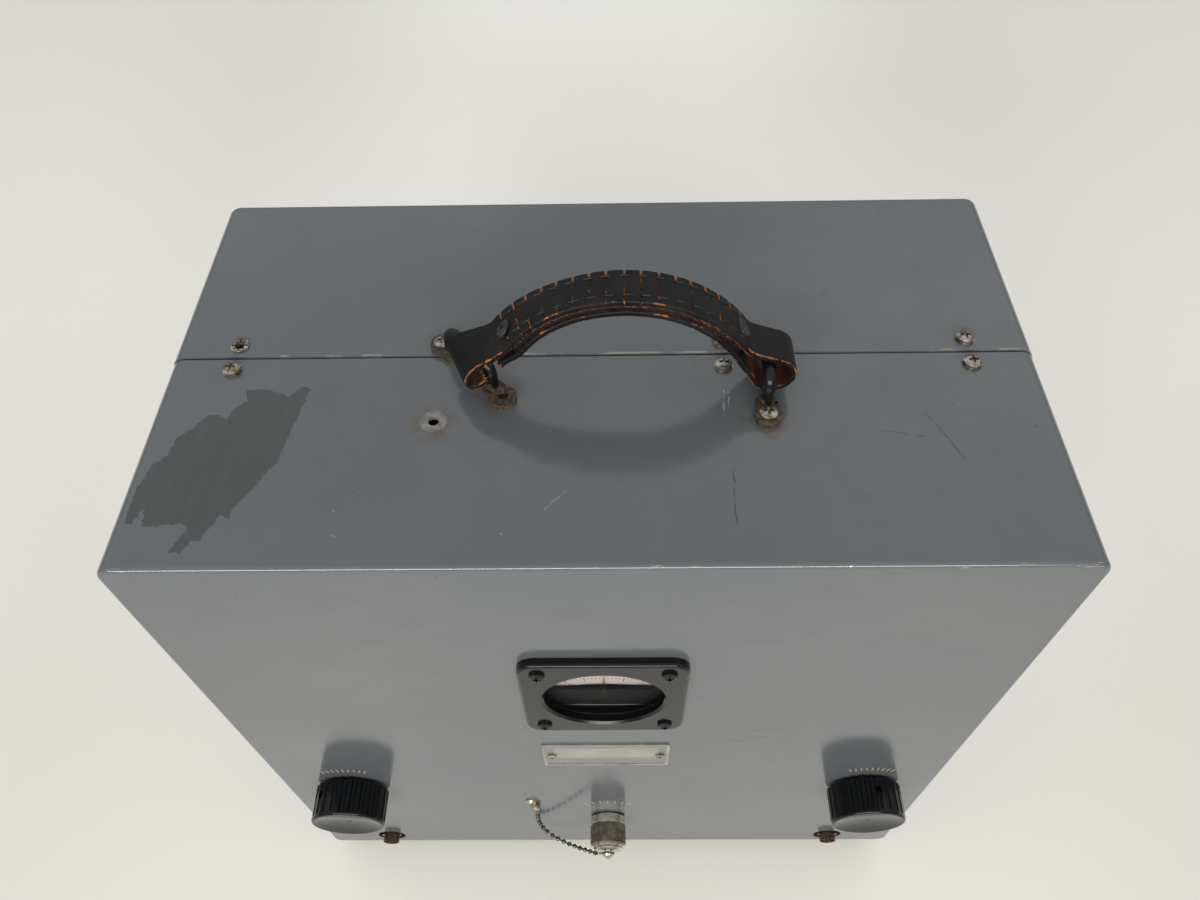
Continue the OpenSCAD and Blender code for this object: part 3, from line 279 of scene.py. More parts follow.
def strokes(paint, place, ruler, marks):
    return largest(paint, [paint.stroke(place, ruler(*a), ruler(*b), w * MM) for a, b, w in marks])


print("bends at x", round(shell_high.x, 4), "and y", round(PANEL_Y, 4), round(rear_high.y, 4))

# %% Worn enamel of the case
ENAMEL = (0.083, 0.091, 0.096)
ENAMEL_HAZE = (0.098, 0.104, 0.107)
ENAMEL_DULL = (0.07, 0.077, 0.08)
ENAMEL_IOR = 1.6
BARE_STEEL = (0.32, 0.31, 0.28)
RUST = (0.075, 0.046, 0.026)
SMEAR = (0.06, 0.064, 0.064)
WORN_RING = (0.19, 0.185, 0.165)
PALE_SCRATCH = (0.33, 0.33, 0.31)
DARK_SCRATCH = (0.028, 0.03, 0.031)
PALE_SCRATCHES = [
    ((48.3, 78.8), (47.4, 68.2), 0.45),
    ((50.2, 78.0), (49.4, 69.4), 0.35),
    ((-12.0, 32.0), (-19.5, 24.0), 0.25),
]
DARK_SCRATCHES = [
    ((48.6, 41.3), (47.6, 17.6), 0.4),
    ((123.6, 66.3), (129.0, 55.0), 0.4),
    ((129.0, 55.0), (133.6, 45.0), 0.4),
    ((105.1, 58.3), (121.0, 55.5), 0.35),
    ((-90.0, 130.0), (-74.0, 137.0), 0.35),
    ((92.0, 128.0), (99.0, 141.0), 0.35),
]
SMEARS_FRONT = [
    ((50.3, 177.7), (72.0, 180.0), 1.6),
    ((63.4, 190.9), (86.1, 195.8), 1.8),
    ((66.0, 184.0), (92.8, 186.0), 1.4),
]
BRACKET_FEET = [(63.5, 64.6), (63.5, 103.0), (-63.5, 103.0), (-41.0, 79.0)]
LOST_SCREW = (-63.5, 64.6)


def worn_enamel(name, rim):
    paint = Finish(name, ENAMEL, 0.16)
    paint.set("IOR", ENAMEL_IOR)
    x, y, z = paint.xyz()
    shaken = shaken_place(paint)
    broken = paint.ramp(paint.noise(330, 4), 0.42, 0.6)
    color = paint.mix(paint.ramp(paint.noise(7, 4), 0.38, 0.7), ENAMEL, ENAMEL_HAZE)
    mottle = paint.ramp(paint.noise(55, 5), 0.45, 0.75, 0.0, 0.35)
    color = paint.mix(mottle, color, ENAMEL_DULL)
    stains = [paint.spot(on_top(*foot), 4.5 * MM, 13 * MM) for foot in BRACKET_FEET + [LOST_SCREW]]
    stain = paint.times(largest(paint, stains), paint.ramp(paint.noise(140, 5), 0.4, 0.75))
    color = paint.mix(stain, color, RUST)
    grime = paint.ramp(paint.noise(420, 3), 0.4, 0.6, 0.0, 0.6)
    smear = paint.times(strokes(paint, shaken, on_panel, SMEARS_FRONT), grime)
    color = paint.mix(smear, color, SMEAR)
    rubbed = paint.spot(on_top(*LOST_SCREW), 4.7 * MM, 5.6 * MM)
    worn = paint.times(rubbed, paint.ramp(broken, 0.0, 1.0, 0.35, 0.85))
    color = paint.mix(worn, color, WORN_RING)
    pale = strokes(paint, shaken, on_top, PALE_SCRATCHES)
    scuff = paint.times(pale, paint.ramp(broken, 0.0, 0.6, 0.15, 0.6))
    color = paint.mix(scuff, color, PALE_SCRATCH)
    dark = strokes(paint, shaken, on_top, DARK_SCRATCHES)
    cut = paint.times(dark, paint.ramp(broken, 0.0, 0.6, 0.4, 0.9))
    specks = paint.ramp(paint.noise(290, 5), 0.245, 0.26, 0.8, 0.0)
    color = paint.mix(paint.math("MAXIMUM", cut, specks), color, DARK_SCRATCH)
    flecks = paint.ramp(paint.noise(260, 6), 0.745, 0.76)
    bare = paint.math("MAXIMUM", bend_chips(paint, x, y, z), flecks)
    if rim:
        edge = paint.ramp(y, SEAM_Y + 0.8 * MM, SEAM_Y + 1.1 * MM, 0.8, 0.0)
        gap = paint.ramp(paint.noise(60, 5), 0.5, 0.58)
        bare = paint.math("MAXIMUM", bare, paint.times(edge, gap))
    paint.set("Base Color", paint.mix(bare, color, BARE_STEEL))
    paint.set("Metallic", paint.times(bare, 0.85))
    smudge = paint.ramp(paint.noise(24, 5), 0.35, 0.75, 0.13, 0.22)
    paint.set("Roughness", paint.math("MAXIMUM", smudge, paint.times(stain, 0.6)))
    film = paint.minus(paint.times(paint.noise(1100, 2), 0.05), bare)
    paint.bump(film, 0.12 * MM, 0.5)
    return paint


dress(worn_enamel("front_enamel", rim=False), "front_shell")
dress(worn_enamel("rear_enamel", rim=True), "rear_shell")
print("enamel with", len(PALE_SCRATCHES + DARK_SCRATCHES), "scratches")

# %% [markdown]
# Metals and mouldings. Each one is a base colour, a noise that tarnishes or dulls it, and a fine
# bump. Each could have its own tree, but only a few numbers change from one to the next, so one
# function makes all the metals and one all the mouldings, and a table says which piece gets which.

# %% Recipes for metals and mouldings
def metal(name, color, tarnish, roughness, share=0.5, grain=420):
    finish = Finish(name, color, roughness, 1.0)
    blotch = finish.ramp(finish.noise(grain, 5), 0.5 - share * 0.3, 0.95 - share * 0.5)
    finish.set("Base Color", finish.mix(blotch, color, tarnish))
    finish.set("Roughness", finish.ramp(blotch, 0.0, 1.0, roughness, min(0.8, roughness + 0.22)))
    finish.bump(finish.noise(grain * 5, 2), 0.00004, 0.4)
    return finish


def moulding(name, color, dust, roughness, rough_dust=0.5, share=0.3):
    finish = Finish(name, color, roughness)
    finish.set("IOR", 1.36)
    film = finish.ramp(finish.noise(210, 6), 0.72 - share * 0.6, 0.95 - share * 0.4, 0.0, share)
    finish.set("Base Color", finish.mix(film, color, dust))
    finish.set("Roughness", finish.ramp(film, 0.0, share, roughness, rough_dust))
    finish.bump(finish.noise(1400, 2), 0.00003, 0.3)
    return finish


print("recipes for metals and mouldings ready")

# %% Plain finishes
nickel = metal("dull_nickel", (0.5, 0.47, 0.4), (0.13, 0.105, 0.07), 0.28, 0.6, 420)
steel = metal("plain_steel", (0.5, 0.5, 0.49), (0.28, 0.25, 0.21), 0.34)
plated = metal("plated_sheet", (0.56, 0.56, 0.52), (0.42, 0.4, 0.34), 0.36, 0.4, 60)
ground = metal("ground_rod", (0.6, 0.6, 0.6), (0.48, 0.46, 0.42), 0.2, 0.3)
aluminium = metal("milled_plate", (0.66, 0.67, 0.68), (0.5, 0.5, 0.49), 0.33, 0.4, 90)
casting = metal("cast_block", (0.52, 0.52, 0.52), (0.38, 0.38, 0.37), 0.48, 0.5, 150)
brass = metal("cut_brass", (0.66, 0.46, 0.17), (0.33, 0.21, 0.08), 0.28, 0.45, 260)
copper = metal("drawn_copper", (0.66, 0.33, 0.18), (0.28, 0.14, 0.08), 0.3, 0.5, 220)
umber = metal("brown_tarnish", (0.22, 0.155, 0.095), (0.07, 0.05, 0.035), 0.4, 0.6, 520)
bakelite = moulding("black_moulding", (0.001, 0.0015, 0.002), (0.03, 0.03, 0.028), 0.13, 0.35, 0.08)
bezel_black = moulding("bezel_moulding", (0.004, 0.004, 0.004), (0.06, 0.055, 0.045), 0.16, 0.36, 0.25)
screw_black = moulding("screw_black", (0.006, 0.006, 0.007), (0.05, 0.045, 0.04), 0.28, 0.5, 0.3)
rubber = moulding("foot_rubber", (0.016, 0.016, 0.016), (0.09, 0.088, 0.08), 0.7, 0.85, 0.5)
insulator = moulding("white_insulator", (0.72, 0.7, 0.64), (0.5, 0.45, 0.36), 0.4, 0.5, 0.5)
PLAIN_FINISHES = {
    nickel: "seam_screws seam_washers bracket_screws nameplate_screws load_jack chain_eye",
    steel: "post_screws foot_screws bracket_nut left_set_screw right_set_screw",
    plated: "chassis_frame",
    ground: "left_shaft right_shaft left_idler_stud phase_shaft right_idler_shaft magnitude_sleeve",
    aluminium: "deck_plate deck_posts jack_plate jack_plate_spacers bearing_bridge probe_arm",
    casting: "phase_line attenuator_can bridge_block",
    brass: "left_pinion right_pinion left_idler right_idler phase_gear magnitude_gear "
    "dial_bushing shaft_bushings attenuator_rotor",
    copper: "coax_lines",
    umber: "left_jack right_jack",
    screw_black: "bezel_screws",
    bakelite: "left_knob right_knob",
    bezel_black: "window_bezel",
    rubber: "rubber_feet",
    insulator: "jack_insulators",
}
for finish, names in PLAIN_FINISHES.items():
    dress(finish, *names.split())
print("plain finishes on", sum(1 for n in nodes.values() if n.data.materials), "nodes")

# %% [markdown]
# Two finishes depend on where they are on their piece. The bracket rods are black above and rusty at
# the feet. The cap is bright at both ends and brown where fingers turned it, so its colour follows
# the distance from the panel; a noise alone would put the wear anywhere. The lug is dull brass.

# %% Rusty brackets, dull lug, banded cap
ROD_BLACK = (0.006, 0.0055, 0.0055)


def rusty_rod():
    rod = Finish("bracket_black", ROD_BLACK, 0.28)
    rod.set("IOR", 1.34)
    height = rod.xyz()[2]
    low = rod.ramp(height, TOP_Z + 2.0 * MM, TOP_Z + 7.0 * MM, 0.34, 0.0)
    rust = rod.ramp(rod.plus(rod.noise(230, 6), low), 0.62, 0.74)
    brown = rod.mix(rod.ramp(rod.noise(700, 4), 0.35, 0.65), (0.027, 0.018, 0.011), (0.085, 0.062, 0.037))
    rod.set("Base Color", rod.mix(rust, ROD_BLACK, brown))
    rod.set("Roughness", rod.ramp(rust, 0.0, 1.0, 0.24, 0.7))
    rod.bump(rod.times(rod.noise(900, 5), rust), 0.0003, 0.7)
    return rod


GRIP_FROM, GRIP_TO = 4.6 * MM, 15.5 * MM


def banded_cap():
    cap_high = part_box("load_cap")[1]
    cap = Finish("cap_nickel", (0.6, 0.57, 0.5), 0.26, 1.0)
    out = cap.xyz()[1]
    grip_from, grip_to = cap_high.y - GRIP_FROM, cap_high.y - GRIP_TO
    start = cap.within(out, grip_from, 0.2 * MM)
    stop = cap.ramp(out, grip_to - 0.2 * MM, grip_to + 0.2 * MM)
    blotch = cap.ramp(cap.noise(300, 5), 0.3, 0.75)
    grip = cap.times(cap.times(start, stop), cap.ramp(blotch, 0.0, 1.0, 0.75, 1.0))
    bright = cap.mix(blotch, (0.74, 0.71, 0.64), (0.45, 0.4, 0.32))
    cap.set("Base Color", cap.mix(grip, bright, (0.17, 0.14, 0.095)))
    cap.set("Roughness", cap.ramp(grip, 0.0, 1.0, 0.17, 0.46))
    cap.bump(cap.noise(1500, 2), 0.00004, 0.4)
    return cap


cap_nickel = banded_cap()
dress(rusty_rod(), "left_bracket", "right_bracket")
dress(cap_nickel, "load_cap")
dress(metal("lug_brass", (0.62, 0.56, 0.4), (0.27, 0.22, 0.13), 0.26, 0.5, 500), "chain_lug")
print("banded finishes ready")

# %% [markdown]
# Node trees do the repeating work: dial ticks, beads, stitches, knurls. Each tree has named inputs
# and ends by realizing its instances and setting a material, because an exporter drops instances.
# The helper below runs a tree on a chain of points and keeps the outcome as a plain mesh, so that
# nothing stays live on the finished piece.

# %% A class for node trees
class Tree(Recipe):
    def __init__(self, name, **sizes):
        self.group = bpy.data.node_groups.new(name, "GeometryNodeTree")
        super().__init__(self.group)
        face = self.group.interface
        face.new_socket("Geometry", in_out="INPUT", socket_type="NodeSocketGeometry")
        for label, value in sizes.items():
            kind = "NodeSocketInt" if isinstance(value, int) else "NodeSocketFloat"
            face.new_socket(label, in_out="INPUT", socket_type=kind).default_value = value
        face.new_socket("Finish", in_out="INPUT", socket_type="NodeSocketMaterial")
        face.new_socket("Geometry", in_out="OUTPUT", socket_type="NodeSocketGeometry")
        self.given = self.add("NodeGroupInput", {})

    def triple(self, x, y, z):
        return self.add("ShaderNodeCombineXYZ", {0: x, 1: y, 2: z})[0]

    def points(self, curve, mode, **inputs):
        return self.add("GeometryNodeCurveToPoints", {"Curve": curve, **inputs}, mode=mode)

    def along(self, tangent):
        return self.add("FunctionNodeAlignRotationToVector", {"Vector": tangent}, axis="X")[0]

    def on_points(self, points, instance, **inputs):
        inputs |= {"Points": points, "Instance": instance}
        return self.add("GeometryNodeInstanceOnPoints", inputs)[0]

    def finish(self, *parts):
        join = self.nodes.new("GeometryNodeJoinGeometry")
        for part in parts:
            self.links.new(part, join.inputs[0])
        real = self.add("GeometryNodeRealizeInstances", {0: join.outputs[0]})[0]
        made = self.add("GeometryNodeSetMaterial", {0: real, "Material": self.given["Finish"]})[0]
        self.add("NodeGroupOutput", {0: made})


print("tree class ready")

# %% From a tree to a piece
def new_piece(name, mesh, body, slot, *replaced):
    piece = put(name, mesh)
    if body:
        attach(piece, body)
    if replaced:
        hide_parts(*replaced)
    return piece


def baked(holder):
    ready = holder.evaluated_get(bpy.context.evaluated_depsgraph_get())
    mesh = bpy.data.meshes.new_from_object(ready)
    bpy.data.objects.remove(holder)
    return mesh


def grow(name, tree, finish, path=(), **sizes):
    start = bpy.data.meshes.new(name)
    start.from_pydata([tuple(p) for p in path], [(i, i + 1) for i in range(len(path) - 1)], [])
    holder = put(name + "_path", start)
    modifier = holder.modifiers.new("Tree", "NODES")
    modifier.node_group = tree.group
    wanted = {**sizes, "Finish": finish.material}
    for item in tree.group.interface.items_tree:
        if item.in_out == "INPUT" and item.name in wanted:
            modifier[item.identifier] = wanted[item.name]
    mesh = baked(holder)
    mesh.name = name
    print(name, "has", len(mesh.polygons), "faces")
    return mesh


def smooth(mesh):
    mesh.polygons.foreach_set("use_smooth", [True] * len(mesh.polygons))
    return mesh


def from_bmesh(name, bm, materials):
    mesh = bpy.data.meshes.new(name)
    bm.to_mesh(mesh)
    bm.free()
    for material in materials:
        mesh.materials.append(material)
    print(name, "has", len(mesh.polygons), "faces")
    return mesh


print("workbench ready")

# %% [markdown]
# Ticks stand on an arc. The tree lays points along the arc, aligns a thin bar with each tangent and
# turns the whole set from the floor plane up into the plane of the panel, facing the viewer. An array
# modifier could do one row, but the same tree serves both dials and the gold marks on the panel.

# %% Ticks on an arc
ticks = Tree(
    "Ticks", Radius=0.066, Length=0.002, Width=0.0003, Thick=0.00008,
    Count=9, Sweep=1.0, Height=0.1, Depth=0.0,
)
given = ticks.given
begin = ticks.minus(math.pi / 2, ticks.times(given["Sweep"], 0.5))
arc_inputs = {"Resolution": given["Count"], "Radius": given["Radius"]}
arc_inputs |= {"Start Angle": begin, "Sweep Angle": given["Sweep"]}
arc = ticks.add("GeometryNodeCurveArc", arc_inputs)
spots = ticks.points(arc["Curve"], "EVALUATED")
bar_size = ticks.triple(given["Width"], given["Length"], given["Thick"])
bar = ticks.add("GeometryNodeMeshCube", {"Size": bar_size})
row = ticks.on_points(spots["Points"], bar["Mesh"], Rotation=ticks.along(spots["Tangent"]))
raised = ticks.triple(0.0, given["Depth"], given["Height"])
stand = {0: row, "Rotation": (math.pi / 2, 0, 0), "Translation": raised}
ticks.finish(ticks.add("GeometryNodeTransform", stand)[0])
print("tick tree has", len(ticks.group.nodes), "nodes")

# %% [markdown]
# Numbers on the dials are plain printed figures. A picture of them would blur close up, so each is a
# text curve turned into a mesh, and then turned about the dial's axis to its place, so that it stands
# upright when it comes up to the window.

# %% Figures on an arc
def figures(name, labels, radius, size, centre, finish):
    bm = bmesh.new()
    for angle, label in labels:
        curve = bpy.data.curves.new(name, "FONT")
        curve.body = label
        curve.size = size
        curve.align_x = "CENTER"
        curve.align_y = "CENTER"
        flat = baked(put(name, curve))
        stand = Matrix.Translation(centre) @ Matrix.Rotation(angle, 4, "Y")
        flat.transform(stand @ Matrix.Translation((0, 0, radius)) @ Matrix.Rotation(math.pi / 2, 4, "X"))
        bm.from_mesh(flat)
    return from_bmesh(name, bm, [finish.material])


print("figures ready")

# %% [markdown]
# The two dials turn on one axis. The front one carries red ticks at its rim and the rear one black
# ticks just beyond it, so both read against one hairline. Ink is a matt, slightly uneven colour. The
# rims are cream, yellowed in blotches. The middle of each dial lies deep in the window below the legend
# plate, and there it is painted black as painted shade. The rim could be a ring of its own, but cream
# and painted shade lie on one plate, so its colour changes with the radius.

# %% Paint and ink
def yellowed(name, color, aged, roughness):
    finish = Finish(name, color, roughness)
    age = finish.ramp(finish.noise(45, 5), 0.35, 0.75)
    finish.set("Base Color", finish.mix(age, color, aged))
    finish.set("Roughness", finish.ramp(age, 0.0, 1.0, roughness, roughness + 0.15))
    finish.bump(finish.noise(1600, 2), 0.00002, 0.3)
    return finish


def ink(name, color):
    finish = Finish(name, color, 0.55)
    finish.set("Base Color", finish.mix(finish.noise(900, 3), color, tuple(c * 0.6 for c in color)))
    return finish


red_ink = ink("red_ink", (0.34, 0.045, 0.03))
black_ink = ink("black_ink", (0.012, 0.011, 0.011))
print("inks ready")

# %% Dials
HUB_FRONT = 2.0 * MM
FILM = 0.06 * MM
CREAM_DOWN = 6 * MM
DIAL_STEP = math.radians(1.5)
DIAL_TURN = math.radians(270)
PHASE_RIM, MAGNITUDE_RIM = 68.4 * MM, 80.0 * MM
# Each tick has its distance in from the rim, its length and its width in millimetres.
FINE_TICK, BOLD_TICK, FINE_PER_BOLD = (1.6, 2.0, 0.28), (2.5, 3.8, 0.42), 5
LABELS, LABEL_STEP = range(-9, 10), math.radians(15)
LABEL_IN, LABEL_SIZE = 7.4 * MM, 4.6 * MM
dial_axis = middle("phase_dial")
window_z = middle("window_bezel").z
phase_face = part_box("phase_dial")[0].y + HUB_FRONT
magnitude_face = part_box("magnitude_dial")[0].y


def dial_paint():
    paint = yellowed("dial_cream_and_painted_shade", (0.52, 0.48, 0.41), (0.45, 0.4, 0.31), 0.4)
    x, _, z = paint.xyz()
    up = paint.minus(z, dial_axis.z)
    radius = paint.math("SQRT", paint.plus(paint.times(x, x), paint.times(up, up)))
    inner = window_z - dial_axis.z - CREAM_DOWN
    # Painted shade: inside the cream rim the dial is black, where it lies deep in the window.
    black = paint.within(radius, inner)
    paint.set("Base Color", paint.mix(black, paint.color_so_far(), (0.008, 0.008, 0.008)))
    print("cream from radius", round(inner / MM, 1), "mm")
    return paint


def dial_marks(body, rim, face, finish, number):
    every = round(DIAL_TURN / DIAL_STEP) + 1
    shared = {"Sweep": DIAL_TURN, "Height": dial_axis.z, "Depth": face - FILM / 2, "Thick": FILM}
    rows = {"fine": (FINE_TICK, every), "bold": (BOLD_TICK, every // FINE_PER_BOLD + 1)}
    for kind, ((inset, length, width), count) in rows.items():
        name = f"{body}_{kind}_ticks"
        sizes = {"Radius": rim - inset * MM, "Length": length * MM, "Width": width * MM, "Count": count}
        new_piece(name, grow(name, ticks, finish, **shared, **sizes), body, "dial_paint")
    labels = [(k * LABEL_STEP, str(abs(number(k)))) for k in LABELS]
    centre = Vector((0, face - FILM, dial_axis.z))
    mesh = figures(body + "_figures", labels, rim - LABEL_IN, LABEL_SIZE, centre, finish)
    new_piece(body + "_figures", mesh, body, "dial_paint")


dress(dial_paint(), "phase_dial", "magnitude_dial")
dial_marks("phase_dial", PHASE_RIM, phase_face, red_ink, lambda k: k * 10)
dial_marks("magnitude_dial", MAGNITUDE_RIM, magnitude_face, black_ink, lambda k: k + 10)

# %% [markdown]
# Behind the pane a legend plate covers the lower part of the window. Its near-black grey is partly
# the plate's own dark grey and partly painted shade, and the pale line along its foot is a painted
# highlight where the edge catches light. A black hairline in front of the dials shows where to read
# them. It could be a painted line, but it stands off the dials, so it is a thin bar with rounded edges.

# %% Legend and hairline
LEGEND_FOOT = 22.8 * MM
HAIR_HALF, HAIR_THICK, HAIR_OFF = 0.2 * MM, 0.3 * MM, 2.9 * MM
HAIR_DOWN, HAIR_UP, HAIR_ROUND = 10 * MM, 5 * MM, 0.08 * MM


def legend_grey():
    # Painted shade: the plate's grey is made near-black so that the lower part of the window stays dark.
    grey = yellowed("legend_grey", (0.006, 0.0058, 0.0055), (0.0045, 0.0044, 0.0042), 0.5)
    grey.set("Specular IOR Level", 0.1)
    foot = window_z - LEGEND_FOOT
    # Painted highlight: a pale line along the foot of the plate, where its edge would catch light.
    pale = grey.ramp(grey.xyz()[2], foot + 0.3 * MM, foot + 0.5 * MM, 0.7, 0.0)
    grey.set("Base Color", grey.mix(pale, grey.color_so_far(), (0.5, 0.45, 0.34)))
    return grey


def hairline():
    back = phase_face - HAIR_OFF
    low = Vector((-HAIR_HALF, back - HAIR_THICK, window_z - HAIR_DOWN))
    high = Vector((HAIR_HALF, back, window_z + HAIR_UP))
    bm = bmesh.new()
    for v in bmesh.ops.create_cube(bm, size=1.0)["verts"]:
        v.co = Vector(low[i] + (high[i] - low[i]) * (v.co[i] + 0.5) for i in range(3))
    bmesh.ops.bevel(bm, geom=bm.edges[:], offset=HAIR_ROUND, segments=2, affect="EDGES")
    return from_bmesh("hairline", bm, [black_ink.material])


dress(legend_grey(), "legend_plate")
new_piece("hairline", hairline(), "case", "dark_metal")

# %% [markdown]
# The pane is a thin clear sheet. A glass shader could bend the light in it, but a sheet this thin
# shifts nothing. A see-through share with a low roughness lets the dial show and still carries a faint
# gloss, and it keeps the light that falls on the dial.

# %% Window pane
pane = Finish("clear_pane", (0.02, 0.022, 0.022), 0.04)
pane.set("IOR", 1.3)
pane.set("Alpha", pane.ramp(pane.noise(260, 5), 0.4, 0.8, 0.05, 0.12))
pane.material.surface_render_method = "BLENDED"
dress(pane, "window_pane")

# %% [markdown]
# The nameplate is a bare one: a bright border, a grey field and a cream strip. It could be three
# stacked sheets, but a real one is a single etched plate, so the three zones are windows in the
# plate's own height and width, cut with ramps.

# %% Bare nameplate
FIELD_HALF = (29.5 * MM, 12.8 * MM)
STRIP_HALF, STRIP_UP = (25.8 * MM, 6.6 * MM), 2.4 * MM


def nameplate_finish():
    plate = Finish("nameplate_metal", (0.6, 0.58, 0.52), 0.34, 0.75)
    x, _, z = plate.xyz()

    def zone(half, up):
        side = plate.within(plate.math("ABSOLUTE", x), half[0])
        height = plate.math("ABSOLUTE", plate.minus(z, middle("nameplate").z + up))
        return plate.times(side, plate.within(height, half[1]))

    field = zone(FIELD_HALF, 0.0)
    strip = zone(STRIP_HALF, STRIP_UP)
    age = plate.ramp(plate.noise(120, 5), 0.35, 0.7)
    metal_color = plate.mix(age, (0.46, 0.44, 0.38), (0.3, 0.28, 0.235))
    color = plate.mix(field, metal_color, (0.165, 0.167, 0.155))
    cream_color = plate.mix(age, (0.285, 0.27, 0.232), (0.24, 0.222, 0.18))
    plate.set("Base Color", plate.mix(strip, color, cream_color))
    plate.set("Metallic", plate.ramp(field, 0.0, 1.0, 0.9, 0.1))
    fine = plate.times(plate.noise(1500, 2), 0.2)
    plate.bump(plate.minus(fine, field), 0.0001, 0.4)
    return plate


dress(nameplate_finish(), "nameplate")
print("nameplate bare")

# %% [markdown]
# Over the knobs and the load jack the panel has plain gold marks on an arc, which say that something
# turns here. They are paint and could be part of the enamel's nodes, but a thin mesh keeps their edges
# sharp at any distance.

# %% Gold marks on the panel
gold = ink("gold_ink", (0.46, 0.36, 0.19))
MARKS = {
    "left": ("left_knob", 26.0, 50.0, 9),
    "right": ("right_knob", 26.0, 50.0, 9),
    "load": ("load_jack", 27.0, 54.0, 7),
}
MARK_LENGTH, MARK_WIDTH, MARK_THICK, MARK_OUT = 3.8 * MM, 0.6 * MM, 0.05 * MM, 0.02 * MM
for side, (node, radius, sweep, count) in MARKS.items():
    at = middle(node)
    name = side + "_marks"
    marks = grow(
        name, ticks, gold, Radius=radius * MM, Length=MARK_LENGTH, Width=MARK_WIDTH, Thick=MARK_THICK,
        Count=count, Sweep=math.radians(sweep), Height=at.z, Depth=PANEL_Y - MARK_OUT,
    )
    marks.transform(Matrix.Translation((at.x, 0, 0)))
    new_piece(name, marks, "case", "dial_paint")

# %% [markdown]
# Someone has touched up the paint on the top with a brush: a dark, duller patch with ragged ends
# where the strokes stop. It could be one more mask in the enamel, but it is a film of its own, so it
# is its own thin mesh. The outline has only the corners that the strokes leave, and a noise frays the
# runs between them.

# %% Touched-up patch
PATCH_OUTLINE = [
    (-113.9, 82), (-117.2, 82.6), (-121.6, 77.6), (-129.8, 81.3), (-139.4, 81.2), (-137, 75.4),
    (-141.6, 72.4), (-143, 66.2), (-147.4, 68.8), (-151.4, 68.4), (-154.4, 63), (-160.4, 57),
    (-161, 49.6), (-165.4, 45.4), (-168.2, 34), (-168.2, 20), (-165.6, 19.2), (-162.6, 26),
    (-161.4, 18), (-147.4, 19.2), (-145, 17), (-149, 7.8), (-145, 7), (-142.6, 12.2),
    (-139.8, 11.8), (-134.4, 23), (-131, 20.8), (-131.4, 25), (-126.4, 32.8), (-121.8, 42.4),
    (-119.2, 45.2), (-119, 50.2),
]
FRAY_STEP, FRAY = 0.7, 0.8
FILM_LOW, FILM_HIGH = 0.005, 0.05


def frayed(outline, step, amount):
    points = []
    for a, b in zip(outline, outline[1:] + outline[:1]):
        a, b = Vector(a), Vector(b)
        count = max(1, round((b - a).length / step))
        out = (b - a).orthogonal().normalized()
        for k in range(count):
            p = a.lerp(b, k / count)
            broad = noise.noise(Vector((p.x * 0.7, p.y * 0.7, 3.0)))
            fine = noise.noise(Vector((p.x * 2.3, p.y * 2.3, 8.0)))
            points.append(p + out * (broad + 0.7 * fine) * amount)
    return points


def film(name, outline, finish):
    bm = bmesh.new()
    face = bm.faces.new([bm.verts.new(on_top(p.x, p.y, FILM_HIGH)) for p in outline])
    made = bmesh.ops.extrude_face_region(bm, geom=[face])["geom"]
    for v in made:
        if isinstance(v, bmesh.types.BMVert):
            v.co.z = TOP_Z + FILM_LOW * MM
    bmesh.ops.triangulate(bm, faces=bm.faces[:])
    bmesh.ops.recalc_face_normals(bm, faces=bm.faces[:])
    return from_bmesh(name, bm, [finish.material])


brushed = Finish("brushed_touch_up", (0.054, 0.058, 0.058), 0.42)
streak = brushed.noise(1.0, 4, brushed.stretch(420, 40, 1, math.radians(62)))
thin, thick = (0.053, 0.057, 0.057), (0.047, 0.051, 0.05)
brushed.set("Base Color", brushed.mix(brushed.ramp(streak, 0.3, 0.75), thick, thin))
brushed.set("Roughness", brushed.ramp(streak, 0.3, 0.7, 0.33, 0.39))
brushed.bump(streak, 0.00005, 0.4)
patch = film("touched_up_patch", frayed(PATCH_OUTLINE, FRAY_STEP, FRAY), brushed)
new_piece("touched_up_patch", patch, "case", "case_paint")

# %% [markdown]
# The strap is three layers of leather: a wrapped outer skin that returns on itself round each
# bracket rod, and a filler between. A curve with a bevel could give such a band, but not its left end,
# which is twisted and propped up because its bracket has swung round. So a profile is drawn first, an
# arc, two eased shoulders and two loops with the sizes of the solid that it replaces, and a second
# step places each of its points in the frame.

# %% Profile of the strap
ARCH_R, ARCH_DROP = 55.2, 15.8
LEATHER, FILLER = 2.6, 2.4
LOOP_R, LOOP_HEIGHT, LOOP_OUT = 6.2, 11.6, 56.3
SPLIT, LOOP_FROM, LOOP_TO = 33, 63, -141
EASE = 4
# At a step of one degree: points on a shoulder and on the way back, degrees on a loop and the lining.
SHOULDER_POINTS, RETURN_POINTS, LOOP_STRIDE, LINING_STRIDE = 14, 12, 9, 2
BAND_STEP = 0.3
arch_low = LOOP_HEIGHT - ARCH_DROP
skin_r = ARCH_R - LEATHER / 2
lining_r = ARCH_R - LEATHER * 1.5 - FILLER


def polar(r, degrees):
    return np.array([r * math.cos(math.radians(degrees)), r * math.sin(math.radians(degrees))])


def arch_point(r, degrees):
    return polar(r, degrees) + (0, arch_low)


def loop_point(degrees):
    return polar(LOOP_R + LEATHER / 2, degrees) + (LOOP_OUT, LOOP_HEIGHT)


